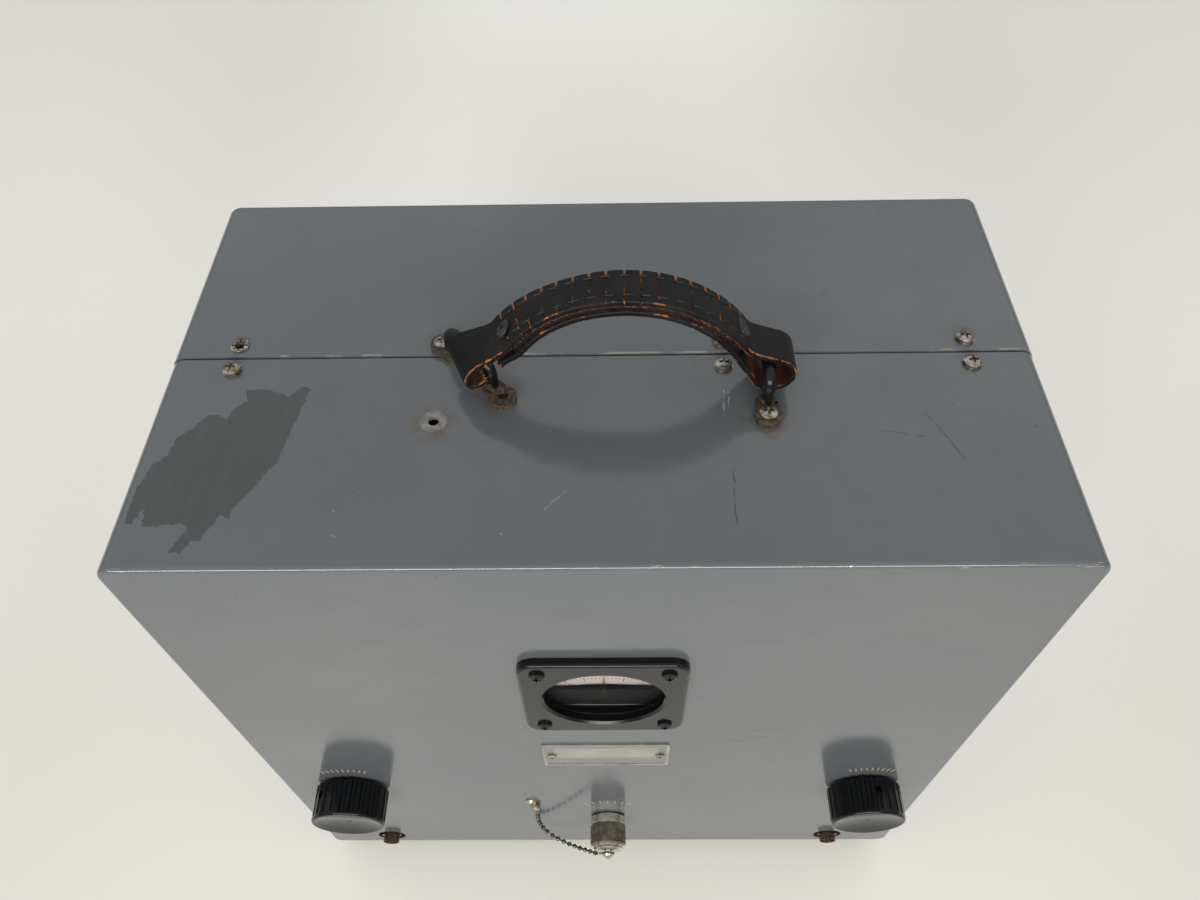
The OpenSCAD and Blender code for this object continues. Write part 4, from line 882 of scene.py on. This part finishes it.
def half_band(step):
    """Points from the crown round the right loop and back under the crown."""
    shoulder = arch_point(skin_r, SPLIT)
    begin = loop_point(LOOP_FROM)
    leave = shoulder + EASE * polar(1, SPLIT - 90)
    arrive = begin - EASE * polar(1, LOOP_FROM - 90)
    handles = (shoulder, leave, arrive, begin)
    points = [arch_point(skin_r, a) for a in np.arange(90, SPLIT, -step)]
    for t in np.linspace(0, 1, round(SHOULDER_POINTS / step), endpoint=False):
        weights = ((1 - t) ** 3, 3 * t * (1 - t) ** 2, 3 * t * t * (1 - t), t ** 3)
        points.append(sum(w * p for w, p in zip(weights, handles)))
    points += [loop_point(a) for a in np.arange(LOOP_FROM, LOOP_TO, -LOOP_STRIDE * step)]
    home = loop_point(LOOP_TO)
    for t in np.linspace(0, 1, round(RETURN_POINTS / step), endpoint=False):
        points.append(home * (1 - t) + arch_point(lining_r, SPLIT) * t)
    points += [arch_point(lining_r, a) for a in np.arange(SPLIT, 90, LINING_STRIDE * step)]
    return points + [arch_point(lining_r, 90)]


right = half_band(BAND_STEP)
band = np.array(right + [p * (-1, 1) for p in right[-2:0:-1]])
heading = np.roll(band, -1, axis=0) - np.roll(band, 1, axis=0)
heading /= np.linalg.norm(heading, axis=1)[:, None]
normal = np.stack([-heading[:, 1], heading[:, 0]], axis=1)
print("strap path has", len(band), "points")

# %% Twist and slump of the strap
STRAP_W, STRAP_DEPTH, ARCH_MID = 16.5, 83.8, 9.2
TWIST, TWIST_SHIFT, LEFT_RISE = 20, 3, 4
TWIST_FROM, TWIST_OVER = 14, 50
SLUMP_LEAN, SLUMP_SHARE, SLUMP_REACH, SLUMP_FADE = 38, 0.55, 21, 10


def clip(value):
    return min(1.0, max(0.0, value))


def eased(share):
    share = clip(share)
    return share * share * (3 - 2 * share)


def slump(p, sideways):
    """The left loop holds no rod at its front edge, so it has gone flat there."""
    away = p - (-LOOP_OUT, LOOP_HEIGHT)
    thin = polar(1, 180 - SLUMP_LEAN)
    near = eased((SLUMP_REACH - np.hypot(*away)) / SLUMP_FADE)
    return p - thin * (away @ thin) * SLUMP_SHARE * near * (0.5 + sideways / STRAP_W)


def strap_place(p, lift, sideways):
    """A point of the profile, pushed along its normal and across the strap, in the frame."""
    lean = math.degrees(math.atan2(-p[0], p[1] - arch_low))
    share = eased((lean - TWIST_FROM) / TWIST_OVER)
    angle = math.radians(TWIST * share)
    flat = slump(p, sideways)
    x = ARCH_MID + flat[0] + lift[0] + sideways * math.sin(angle)
    depth = STRAP_DEPTH - TWIST_SHIFT * share - sideways * math.cos(angle)
    return on_top(x, depth, flat[1] + lift[1] + LEFT_RISE * share)


print("left end twists by", TWIST, "degrees and rises by", LEFT_RISE, "mm")

# %% [markdown]
# Old strap leather breaks straight across the bend, from one needle hole to the other, so there is a
# crack at every stitch. It gapes at the rear edge and at the front hole, and raw tan hide shows there.
# A bump could draw them, but the broken outline would be lost, so the cracks are real grooves: rows
# of the mesh that lie on one are pressed in. Two attributes, crack and worn, are stored on the
# points, and the leather material reads them for its colour.

# %% A strap from a profile
def section(half_t, half_w, r, steps):
    """Cross-section of a strap as (lift, sideways) points."""
    flat = np.linspace(-half_w + r, half_w - r, steps)
    bend = [(r * math.cos(a), r * math.sin(a)) for a in np.linspace(0.3, 1.57, 4)]
    ring = [(half_t, s) for s in flat]
    ring += [(half_t - r + c, half_w - r + d) for c, d in bend]
    ring += [(-half_t + r - c, half_w - r + d) for c, d in bend[::-1]]
    ring += [(-half_t, s) for s in flat[::-1]]
    ring += [(-half_t + r - c, -half_w + r - d) for c, d in bend]
    return ring + [(half_t - r + c, -half_w + r - d) for c, d in bend[::-1]]


def outward(mesh):
    bm = bmesh.new()
    bm.from_mesh(mesh)
    bmesh.ops.recalc_face_normals(bm, faces=bm.faces[:])
    bm.to_mesh(mesh)
    bm.free()


def strap_mesh(name, path, lifts, ring, closed, mark):
    points, cracks, worn = [], [], []
    for p, n in zip(path, lifts):
        for lift, sideways in ring:
            crack, wear, press = mark(p, lift, sideways)
            points.append(strap_place(p, n * (lift - press), sideways))
            cracks.append(crack)
            worn.append(wear)
    size, count = len(ring), len(path)
    faces = []
    for i in range(count if closed else count - 1):
        j = (i + 1) % count
        for k in range(size):
            m = (k + 1) % size
            faces.append((i * size + k, i * size + m, j * size + m, j * size + k))
    if not closed:
        faces += [tuple(range(size))[::-1], tuple((count - 1) * size + k for k in range(size))]
    mesh = bpy.data.meshes.new(name)
    mesh.from_pydata([tuple(p) for p in points], [], faces)
    for label, values in (("crack", cracks), ("worn", worn)):
        mesh.attributes.new(label, "FLOAT", "POINT").data.foreach_set("value", values)
    outward(mesh)
    print(name, "has", len(mesh.polygons), "faces")
    return smooth(mesh)


print("strap helpers ready")

# %% Cracks and wear of the skin
CRACKS = 17
STITCH_ROW, STITCH_PITCH = 4.9, 6.2
ARCH_FOOT, LOOP_ZONE = 12, 10


def wander(a, b, c):
    return noise.noise(Vector((a, b, c)))


def crack_at(p, sideways):
    """How deep a point of the outer face lies in a crack, and how raw it is there, from 0 to 1."""
    along = math.radians(90 - math.degrees(math.atan2(p[1] - arch_low, p[0]))) * ARCH_R
    k = round(along / STITCH_PITCH)
    if abs(k) > CRACKS // 2:
        return 0.0, 0.0
    line = k * STITCH_PITCH + wander(k * 7.3, 1.0, 0.0) + 0.5 * wander(sideways * 0.35, k * 3.1, 5.0)
    back = clip((-sideways - STITCH_ROW + 0.8) / 1.6)
    hole = math.exp(-((sideways - STITCH_ROW) / 0.9) ** 2)
    width = 0.25 + 0.1 * wander(sideways * 0.6, k * 5.7, 9.0) + 0.24 * back + 0.18 * hole
    held = 0.6 + 0.9 * wander(sideways * 0.42 + 20, k * 2.9, 2.0) + 0.5 * back + 0.4 * hole
    depth = clip(held) * math.exp(-((along - line) / width) ** 2)
    return depth, depth * max(back, hole if wander(k * 1.7, 3.0, 1.0) > -0.1 else 0.0)


def skin_mark(p, lift, sideways):
    on_arch = np.hypot(p[0], p[1] - arch_low) > skin_r - 0.5 and p[1] > ARCH_FOOT
    crack, gape = crack_at(p, sideways) if on_arch and lift > 0 else (0.0, 0.0)
    rough = 0.5 + 0.5 * wander(p[0] * 0.12, p[1] * 0.12, sideways)
    fray = 0.5 + 0.3 * wander(p[0] * 1.3 + 40, p[1] * 1.3, sideways * 0.4)
    fray += 0.4 * wander(p[0] * 0.4, p[1] * 0.4 + 60, lift)
    rim = max(0.0, abs(sideways) - (STRAP_W / 2 - 1.0))
    corner = max(0.0, 1 - abs(abs(lift) - LEATHER / 2 + 0.25) / 0.65)
    in_loop = abs(p[0]) > LOOP_OUT - LOOP_ZONE
    line = 0.85 if (lift > 0) == in_loop else 0.0
    share = max(line if in_loop or on_arch else 0.0, clip((rough - 0.5) * 5))
    wear = rim * corner * share * (0.4 + 1.1 * fray) * (1.0 if sideways > 0 else 0.3)
    press = 0.5 * crack + 0.12 * fray * rim + 0.1 * wander(p[0] * 0.5, p[1] * 0.5, sideways * 0.5)
    return crack, clip(max(wear, gape)), press


print("cracks", CRACKS, "at a pitch of", STITCH_PITCH, "mm")

# %% Leather skin
EDGE_ROUND, FACE_POINTS = 0.8, 30
skin_ring = section(LEATHER / 2, STRAP_W / 2, EDGE_ROUND, FACE_POINTS)
skin = strap_mesh("leather_skin", band, normal, skin_ring, True, skin_mark)

# %% [markdown]
# The filler is a shorter strip between the two runs of the skin. It stops short of the loops, where
# the skin parts to go round the rods. It could be drawn on the skin's edge as a line, but the fine gaps
# beside a real strip are what shows that the strap has layers.

# %% Leather filler
FILLER_STEP, FILLER_THIN, FILLER_IN, FILLER_ROUND = 0.6, 0.12, 0.35, 0.5
filler_r = ARCH_R - LEATHER - FILLER / 2
filler_turns = np.arange(180 - SPLIT - 2, SPLIT + 1, -FILLER_STEP)
filler_path = np.array([arch_point(filler_r, a) for a in filler_turns])
filler_lift = np.array([polar(1, a) for a in filler_turns])


def filler_mark(p, lift, sideways):
    fray = 0.5 + 0.5 * wander(p[0] * 0.8, p[1] * 0.8, lift * 2)
    rim = max(0.0, abs(sideways) - (STRAP_W / 2 - 1.6))
    line = max(0.0, 1 - abs(abs(lift) - 0.85) / 0.25)
    return 0.0, clip(rim * line * (0.05 + 0.85 * fray)), 0.12 * fray * rim


filler_ring = section(FILLER / 2 - FILLER_THIN, STRAP_W / 2 - FILLER_IN, FILLER_ROUND, 12)
filler = strap_mesh("leather_filler", filler_path, filler_lift, filler_ring, False, filler_mark)

# %% [markdown]
# Black leather with tan hide under it. A picture of leather would not know where the cracks are, but
# the crack and worn attributes do, and they bring in the tan. Pores and a soft grain come from two
# noises in the bump. The inside of the loops, which was never dyed well, is redder.

# %% Black strap leather
def strap_leather(name, dye):
    leather = Finish(name, dye, 0.42)
    leather.set("Specular IOR Level", 0.14)
    worn = leather.attribute("worn")
    crack = leather.attribute("crack")
    torn = leather.noise(900, 4)
    raw = leather.ramp(leather.plus(worn, leather.times(torn, 0.5)), 0.62, 0.8)
    split = leather.ramp(leather.plus(crack, leather.times(torn, 0.35)), 0.5, 0.8)
    flecked = leather.ramp(leather.noise(260, 3), 0.5, 0.62)
    hide = leather.ramp(leather.noise(600, 4), 0.3, 0.7)
    tan = leather.mix(hide, (0.34, 0.125, 0.035), (0.16, 0.05, 0.014))
    rubbed = leather.ramp(leather.noise(60, 5), 0.4, 0.75)
    black = leather.mix(rubbed, dye, tuple(c * 2.2 for c in dye))
    deep = leather.mix(flecked, (0.012, 0.006, 0.004), tan)
    leather.set("Base Color", leather.mix(raw, leather.mix(split, black, deep), tan))
    leather.set("Roughness", leather.ramp(leather.math("MAXIMUM", raw, rubbed), 0.0, 1.0, 0.34, 0.58))
    pores = leather.plus(leather.noise(1300, 3), leather.times(leather.noise(240, 4), 0.8))
    leather.bump(pores, 0.00022, 0.55)
    return leather


black_leather = strap_leather("black_leather", (0.0068, 0.0058, 0.0056))
layer_leather = strap_leather("layer_leather", (0.0075, 0.0056, 0.005))
lining = strap_leather("loop_lining", (0.045, 0.016, 0.007))
raw_tan = ink("raw_tan", (0.3, 0.11, 0.035))
print("leathers ready")

# %% [markdown]
# The left loop is torn through to its front edge, and a leg of the swung bracket stands in the tear.
# Behind the leg the rod has worn a trough, in which it lies when the handle is lifted. Faces could be
# deleted by hand, but that leaves open edges. So for each a ragged block is taken out of the skin with
# a Boolean, which also closes the cut with faces of raw hide. Both loops get the red lining inside.

# %% A ragged cut
TEAR_HALF, RAG_STEP = 3.2, 1.0
LINING, RAW = 1, 2


def ragged_block(path, low, high):
    spine = []
    for a, b in zip(path, path[1:]):
        count = round((b - a).length / RAG_STEP)
        spine += [a.lerp(b, k / count) for k in range(count)]
    spine.append(path[-1])
    sides = {1: [], -1: []}
    for i, p in enumerate(spine):
        ahead = spine[min(i + 1, len(spine) - 1)] - spine[max(i - 1, 0)]
        for side, points in sides.items():
            reach = TEAR_HALF + 0.7 * wander(i * 0.8, side * 7.0, 4.0)
            points.append(p + side * reach * Vector((-ahead.y, ahead.x)).normalized())
    outline = sides[1] + sides[-1][::-1]
    count = len(outline)
    points = [on_top(p.x, p.y, up) for up in (low, high) for p in outline]
    faces = [(k, (k + 1) % count, count + (k + 1) % count, count + k) for k in range(count)]
    faces += [tuple(range(count))[::-1], tuple(range(count, 2 * count))]
    mesh = bpy.data.meshes.new("ragged_block")
    mesh.from_pydata([tuple(p) for p in points], [], faces)
    outward(mesh)
    mesh.polygons.foreach_set("material_index", [RAW] * len(faces))
    return mesh


def cut_out(mesh, block_mesh):
    whole = put("whole_skin", mesh)
    block_piece = put("ragged_block", block_mesh)
    cutter = whole.modifiers.new("Tear", "BOOLEAN")
    cutter.operation = "DIFFERENCE"
    cutter.solver = "EXACT"
    cutter.object = block_piece
    torn = baked(whole)
    bpy.data.objects.remove(block_piece)
    print("cut leaves", len(torn.polygons), "faces")
    return torn


print("cuts are about", 2 * TEAR_HALF, "mm wide")

# %% Torn skin and lining of the loops
TEAR = [Vector(p) for p in ((-45.3, 83.5), (-41.6, 79.5), (-38.1, 69.9))]
TEAR_LOW, TEAR_HIGH = 1.0, 22.0
TROUGH = [Vector((-51.1, 89.7)), TEAR[1]]
TROUGH_LOW, TROUGH_HIGH = 8.8, 18.2
LINING_ZONE = 5


def finish_skin(mesh):
    for finish in (black_leather, lining, raw_tan):
        mesh.materials.append(finish.material)
    size = len(skin_ring)
    for face in mesh.polygons:
        i, k = divmod(face.index, size)
        in_loop = abs(band[i][0]) > LOOP_OUT - LOOP_R - LINING_ZONE and band[i][1] < LOOP_HEIGHT + LOOP_R
        face.material_index = LINING if in_loop and skin_ring[k][0] < -LEATHER / 2 + 0.1 else 0
    for path, low, high in ((TEAR, TEAR_LOW, TEAR_HIGH), (TROUGH, TROUGH_LOW, TROUGH_HIGH)):
        mesh = cut_out(mesh, ragged_block(path, low, high))
    bm = bmesh.new()
    bm.from_mesh(mesh)
    rim = []
    for edge in bm.edges:
        kinds = {face.material_index for face in edge.link_faces}
        if RAW in kinds and len(kinds) > 1:
            edge.smooth = False
            centre = (edge.verts[0].co + edge.verts[1].co) / 2
            if centre.y < on_top(0, TEAR[1].y - TEAR_HALF, 0).y:
                rim.append(centre)
    open_edges = sum(e.is_boundary for e in bm.edges)
    print("tear has", len(rim), "rim edges in front of the leg and", open_edges, "open ones")
    bm.to_mesh(mesh)
    bm.free()
    return mesh, rim


skin, tear_rim = finish_skin(skin)
filler.materials.append(layer_leather.material)
new_piece("leather_skin", skin, "handle", "black_leather", "handle_cover")
new_piece("leather_filler", filler, "handle", "tan_leather", "handle_core")

# %% [markdown]
# Stitches run in two rows along the strap. They could be copied by an array on a curve, but a tree
# keeps pitch and thread as named inputs. It walks a path, sets a point at every pitch and lays a small
# waxed thread along each tangent. The path starts half a pitch off, so that the threads lie between
# the cracks, and it lies on the face of the leather, so half of each thread sinks in.

# %% Stitches
stitches = Tree("Stitches", Pitch=0.006, Length=0.005, Thread=0.0009)
given = stitches.given
walk = stitches.add("GeometryNodeMeshToCurve", {0: given["Geometry"]})
holes = stitches.points(walk[0], "LENGTH", Length=given["Pitch"])
thread = stitches.add("GeometryNodeMeshUVSphere", {"Segments": 10, "Rings": 6, "Radius": 0.5})
laid = {"Rotation": stitches.along(holes["Tangent"])}
laid["Scale"] = stitches.triple(given["Length"], given["Thread"], given["Thread"])
stitches.finish(stitches.on_points(holes["Points"], thread["Mesh"], **laid))

waxed = moulding("waxed_thread", (0.008, 0.0075, 0.0075), (0.05, 0.045, 0.04), 0.35, 0.55, 0.4)
SEWN = (CRACKS // 2 - 0.5) * STITCH_PITCH
THREAD_LIFT, THREAD_SHARE = LEATHER / 2 - 0.05, 0.78
sewn_degrees = math.degrees(SEWN / ARCH_R)
rows = []
for side in (-1, 1):
    angles = np.linspace(90 + sewn_degrees, 90 - sewn_degrees, 120)
    row_y = side * STITCH_ROW
    path = [strap_place(arch_point(skin_r, a), polar(THREAD_LIFT, a), row_y) for a in angles]
    sizes = {"Pitch": STITCH_PITCH * MM, "Length": STITCH_PITCH * THREAD_SHARE * MM}
    rows.append(smooth(grow(f"stitch_row_{side}", stitches, waxed, path, **sizes)))


def joined(name, meshes):
    bm = bmesh.new()
    for mesh in meshes:
        bm.from_mesh(mesh)
    return smooth(from_bmesh(name, bm, meshes[0].materials))


new_piece("strap_stitches", joined("strap_stitches", rows), "handle", "black_leather")

# %% [markdown]
# A rivet near each end holds the layers. Its black head is a ring with a shallow hollow in it. A ball
# or a disc would have the wrong gleam, so one outline is turned about the rivet's axis, once for
# each end, and laid square on the strap.

# %% Strap rivets
RIVET_LEAN = 53
RIVET_OUTLINE = [(0, 0.15), (1.2, 0.2), (2.1, 0.5), (2.7, 0.72), (3.4, 0.62), (3.8, 0.3), (3.9, -0.4)]
RIVET_SIDES, RIVET_UNDER = 40, 0.9


def rivet(lean):
    up = polar(1, 90 - lean)
    base = strap_place(arch_point(ARCH_R, 90 - lean), np.zeros(2), 0)
    frame_turn = Vector((0, 0, 1)).rotation_difference(Vector((up[0], 0, up[1]))).to_matrix().to_4x4()
    bm = bmesh.new()
    for top, outline in ((1, RIVET_OUTLINE), (-1, [(r * RIVET_UNDER, h) for r, h in RIVET_OUTLINE])):
        lift = 0 if top > 0 else -(2 * LEATHER + FILLER)
        ring = [bm.verts.new((r * MM, 0, (lift + top * h) * MM)) for r, h in outline]
        edges = [bm.edges.new(pair) for pair in zip(ring, ring[1:])]
        spun = {"cent": (0, 0, 0), "axis": (0, 0, 1), "angle": math.tau, "steps": RIVET_SIDES}
        bmesh.ops.spin(bm, geom=ring + edges, use_merge=True, **spun)
    bmesh.ops.remove_doubles(bm, verts=bm.verts[:], dist=1e-6)
    rims = [e for e in bm.edges if e.is_boundary]
    bmesh.ops.holes_fill(bm, edges=rims, sides=0)
    bmesh.ops.recalc_face_normals(bm, faces=bm.faces[:])
    bmesh.ops.transform(bm, matrix=Matrix.Translation(base) @ frame_turn, verts=bm.verts[:])
    return from_bmesh("rivet", bm, [rivet_black.material])


rivet_black = moulding("rivet_black", (0.02, 0.019, 0.018), (0.16, 0.14, 0.12), 0.3, 0.55, 0.4)
rivets = joined("strap_rivets", [rivet(-RIVET_LEAN), rivet(RIVET_LEAN)])
new_piece("strap_rivets", rivets, "handle", "dark_metal", "handle_rivets")

# %% [markdown]
# Torn leather ends in short fibres. Hair would be the usual way, but it is lost in an export, so the
# tree sets thin cones on the rim of the tear, with a fixed seed, each leaning its own way.

# %% Fibres in the tear
fibres = Tree("Fibres", Length=0.0022, Thick=0.0002, Seed=4)
given = fibres.given
start = fibres.add("GeometryNodeMeshToPoints", {0: given["Geometry"]})
lean_inputs = {0: (-1.1, -1.1, 0.0), 1: (1.1, 1.1, 6.2), "Seed": given["Seed"]}
lean = fibres.add("FunctionNodeRandomValue", lean_inputs, data_type="FLOAT_VECTOR")
reach = fibres.add("FunctionNodeRandomValue", {2: 0.35, 3: 1.0, "Seed": given["Seed"]}, data_type="FLOAT")
hair_inputs = {"Vertices": 6, "Radius Top": 0.0, "Radius Bottom": given["Thick"], "Depth": given["Length"]}
hair = fibres.add("GeometryNodeMeshCone", hair_inputs)
fibres.finish(fibres.on_points(start[0], hair["Mesh"], Rotation=lean[0], Scale=reach[1]))

tufts = grow("torn_fibres", fibres, raw_tan, tear_rim[::2])
new_piece("torn_fibres", smooth(tufts), "handle", "tan_leather")

# %% [markdown]
# The bead chain keeps the cap. It is one run of hollow beads on short links, from the lug on the
# panel to the eye on the cap. A simulation could hang it, but three points already give the bend that
# it rests in. The tree puts beads along it and a thin wire through them. The chain is baked in place
# and is not attached to either body.

# %% Bead chain
CHAIN_START, CHAIN_SAG, CHAIN_END = (-39.5, 76.0, 1.7), (-47.6, 21.5, 2.0), (-6.4, 54.5, 20.9)
BEADS = 16
BEAD_D = 2.6
LINK_D = 0.9
SLEEVE = 7.5
SLEEVE_D = 2.2
TAIL_D = 1.6
PATH_POINTS = 90
FIRST_SHARE, LAST_SHARE = 0.6, 0.4


def chain_path(count):
    start, sag, end = (np.array(p) for p in (CHAIN_START, CHAIN_SAG, CHAIN_END))
    run = np.linspace(0, 1, count)
    return [on_panel(*((1 - t) ** 2 * start + 2 * t * (1 - t) * sag + t * t * end)) for t in run]


chain = Tree(
    "Bead chain", Bead=0.0013, Wire=0.00045, Sleeve=0.0011, Tail=0.0008,
    First=0.1, Last=0.9, Cuff=0.1, Count=16,
)
given = chain.given
run = chain.add("GeometryNodeMeshToCurve", {0: given["Geometry"]})


def stretch_of(start, end, radius):
    part = chain.add("GeometryNodeTrimCurve", {0: run[0], 2: start, 3: end}, mode="FACTOR")
    ring = chain.add("GeometryNodeCurvePrimitiveCircle", {"Resolution": 12, "Radius": radius})
    tube = {"Curve": part[0], "Profile Curve": ring["Curve"], "Fill Caps": True}
    return part[0], chain.add("GeometryNodeCurveToMesh", tube)[0]


strung, wire = stretch_of(given["First"], given["Last"], given["Wire"])
cuff_mesh = stretch_of(0.0, given["Cuff"], given["Sleeve"])[1]
neck_mesh = stretch_of(given["Cuff"], given["First"], given["Wire"])[1]
tail_mesh = stretch_of(given["Last"], 1.0, given["Tail"])[1]
seats = chain.points(strung, "COUNT", Count=given["Count"])
bead = chain.add("GeometryNodeMeshUVSphere", {"Segments": 20, "Rings": 12, "Radius": given["Bead"]})
beaded = chain.on_points(seats["Points"], bead["Mesh"])
chain.finish(beaded, wire, cuff_mesh, neck_mesh, tail_mesh)

path = chain_path(PATH_POINTS)
length = sum((b - a).length for a, b in zip(path, path[1:])) / MM
pitch_share = (1 - SLEEVE / length) / BEADS
bead_metal = metal("bead_metal", (0.2, 0.19, 0.145), (0.045, 0.04, 0.028), 0.26, 0.6, 600)
beads = grow(
    "chain_beads", chain, bead_metal, path, Bead=BEAD_D / 2 * MM, Wire=LINK_D / 2 * MM, Count=BEADS,
    Sleeve=SLEEVE_D / 2 * MM, Tail=TAIL_D / 2 * MM, Cuff=SLEEVE / length,
    First=SLEEVE / length + FIRST_SHARE * pitch_share, Last=1 - LAST_SHARE * pitch_share,
)
chain_piece = new_piece("chain_beads", smooth(beads), None, "dark_nickel", "bead_chain")
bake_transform(chain_piece)

# %% [markdown]
# The grip of the cap is knurled with fine straight ridges. They stand on a circle about the axis of
# the load jack; a small tree places one thin bar for each ridge. A bump would leave the outline of
# the cap smooth, and real bars break it.

# %% Knurl on the cap
knurl = Tree("Knurl", Radius=0.0099, Ridge=0.0004, Length=0.006, Count=60)
given = knurl.given
hoop_inputs = {"Resolution": given["Count"], "Radius": given["Radius"]}
hoop = knurl.add("GeometryNodeCurvePrimitiveCircle", hoop_inputs)
stops = knurl.points(hoop["Curve"], "EVALUATED")
ridge_inputs = {"Vertices": 6, "Radius": given["Ridge"], "Depth": given["Length"]}
ridge = knurl.add("GeometryNodeMeshCylinder", ridge_inputs)
bars = knurl.on_points(stops["Points"], ridge["Mesh"])
knurl.finish(knurl.add("GeometryNodeTransform", {0: bars, "Rotation": (math.pi / 2, 0, 0)})[0])

RIDGES, RIDGE_R, RIDGE_SINK, GRIP_SPARE = 66, 0.28 * MM, 0.04 * MM, 0.5 * MM
cap_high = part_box("load_cap")[1]
grip_r = cap_high.x - RIDGE_SINK
grip_len = GRIP_TO - GRIP_FROM - GRIP_SPARE
ridges = grow("cap_knurl", knurl, cap_nickel, Radius=grip_r, Ridge=RIDGE_R, Length=grip_len, Count=RIDGES)
ridges.transform(Matrix.Translation((0, cap_high.y - (GRIP_FROM + GRIP_TO) / 2, middle("load_cap").z)))
new_piece("cap_knurl", ridges, "cap", "cap_nickel")

# %% [markdown]
# The stage is a pale floor, painted lighter towards the back and darker towards the sides: painted
# light and shade. Light is soft and comes from above, weaker towards the horizon, and one wide lamp
# stands in front, as a window behind the viewer would be. Black mouldings stay black because their
# sides mirror the dim horizon. The panel is seen at a flat angle, so much of its brightness is the pale
# floor mirrored in the enamel, and the knobs show there as soft dark bands. A picture of a room could
# give the light as well, but the enamel would then mirror a strange room.

# %% Floor
floor_finish = Finish("pale_floor", (0.8, 0.77, 0.7), 0.5)
grain = floor_finish.noise(3, 4)
# Painted light and shade: the far floor is lighter and the sides darker, as uneven light would make them.
near_floor = floor_finish.mix(grain, (0.82, 0.79, 0.715), (0.785, 0.755, 0.68))
far_floor_painted_light = floor_finish.mix(grain, (0.93, 0.905, 0.845), (0.9, 0.87, 0.81))
across_floor, along_floor, _ = floor_finish.xyz()
away = floor_finish.ramp(along_floor, -0.2, 0.6)
side_painted_shade = floor_finish.ramp(floor_finish.math("ABSOLUTE", across_floor), 0.1, 0.45)
along = floor_finish.mix(away, near_floor, far_floor_painted_light)
floor_finish.set("Base Color", floor_finish.mix(side_painted_shade, along, (0.85, 0.85, 0.84), "MULTIPLY"))
floor_mesh = bpy.data.meshes.new("floor")
FLOOR = 4.0
corners = [(-FLOOR, -FLOOR, 0), (FLOOR, -FLOOR, 0), (FLOOR, FLOOR, 0), (-FLOOR, FLOOR, 0)]
floor_mesh.from_pydata(corners, [], [(0, 1, 2, 3)])
floor_mesh.materials.append(floor_finish.material)
floor = put("floor", floor_mesh)
print("floor", 2 * FLOOR, "m wide")

# %% Sky and lamp
HORIZON, ZENITH = 0.24, 0.8
world = bpy.data.worlds.new("studio")
world.use_nodes = True
sky = Recipe(world.node_tree)
backdrop = sky.nodes["Background"].inputs
up = sky.axes(sky.add("ShaderNodeTexCoord", {})["Generated"])["Z"]
sky.feed(backdrop["Color"], (0.97, 0.985, 1.0))
sky.feed(backdrop["Strength"], sky.ramp(up, -0.1, 0.6, HORIZON, ZENITH))
scene.world = world


def lamp(name, at, towards, width, height, power):
    light = bpy.data.lights.new(name, "AREA")
    light.shape = "RECTANGLE"
    light.size = width
    light.size_y = height
    light.energy = power
    holder = put(name, light)
    holder.location = at
    holder.rotation_euler = (Vector(towards) - Vector(at)).to_track_quat("-Z", "Y").to_euler()


LAMP_AT, LAMP_AIM, LAMP_WATTS = (-0.2, -2.6, 1.4), (0, 0, 0.15), 80
lamp("window", LAMP_AT, LAMP_AIM, width=3.2, height=0.6, power=LAMP_WATTS)
print("stage set")
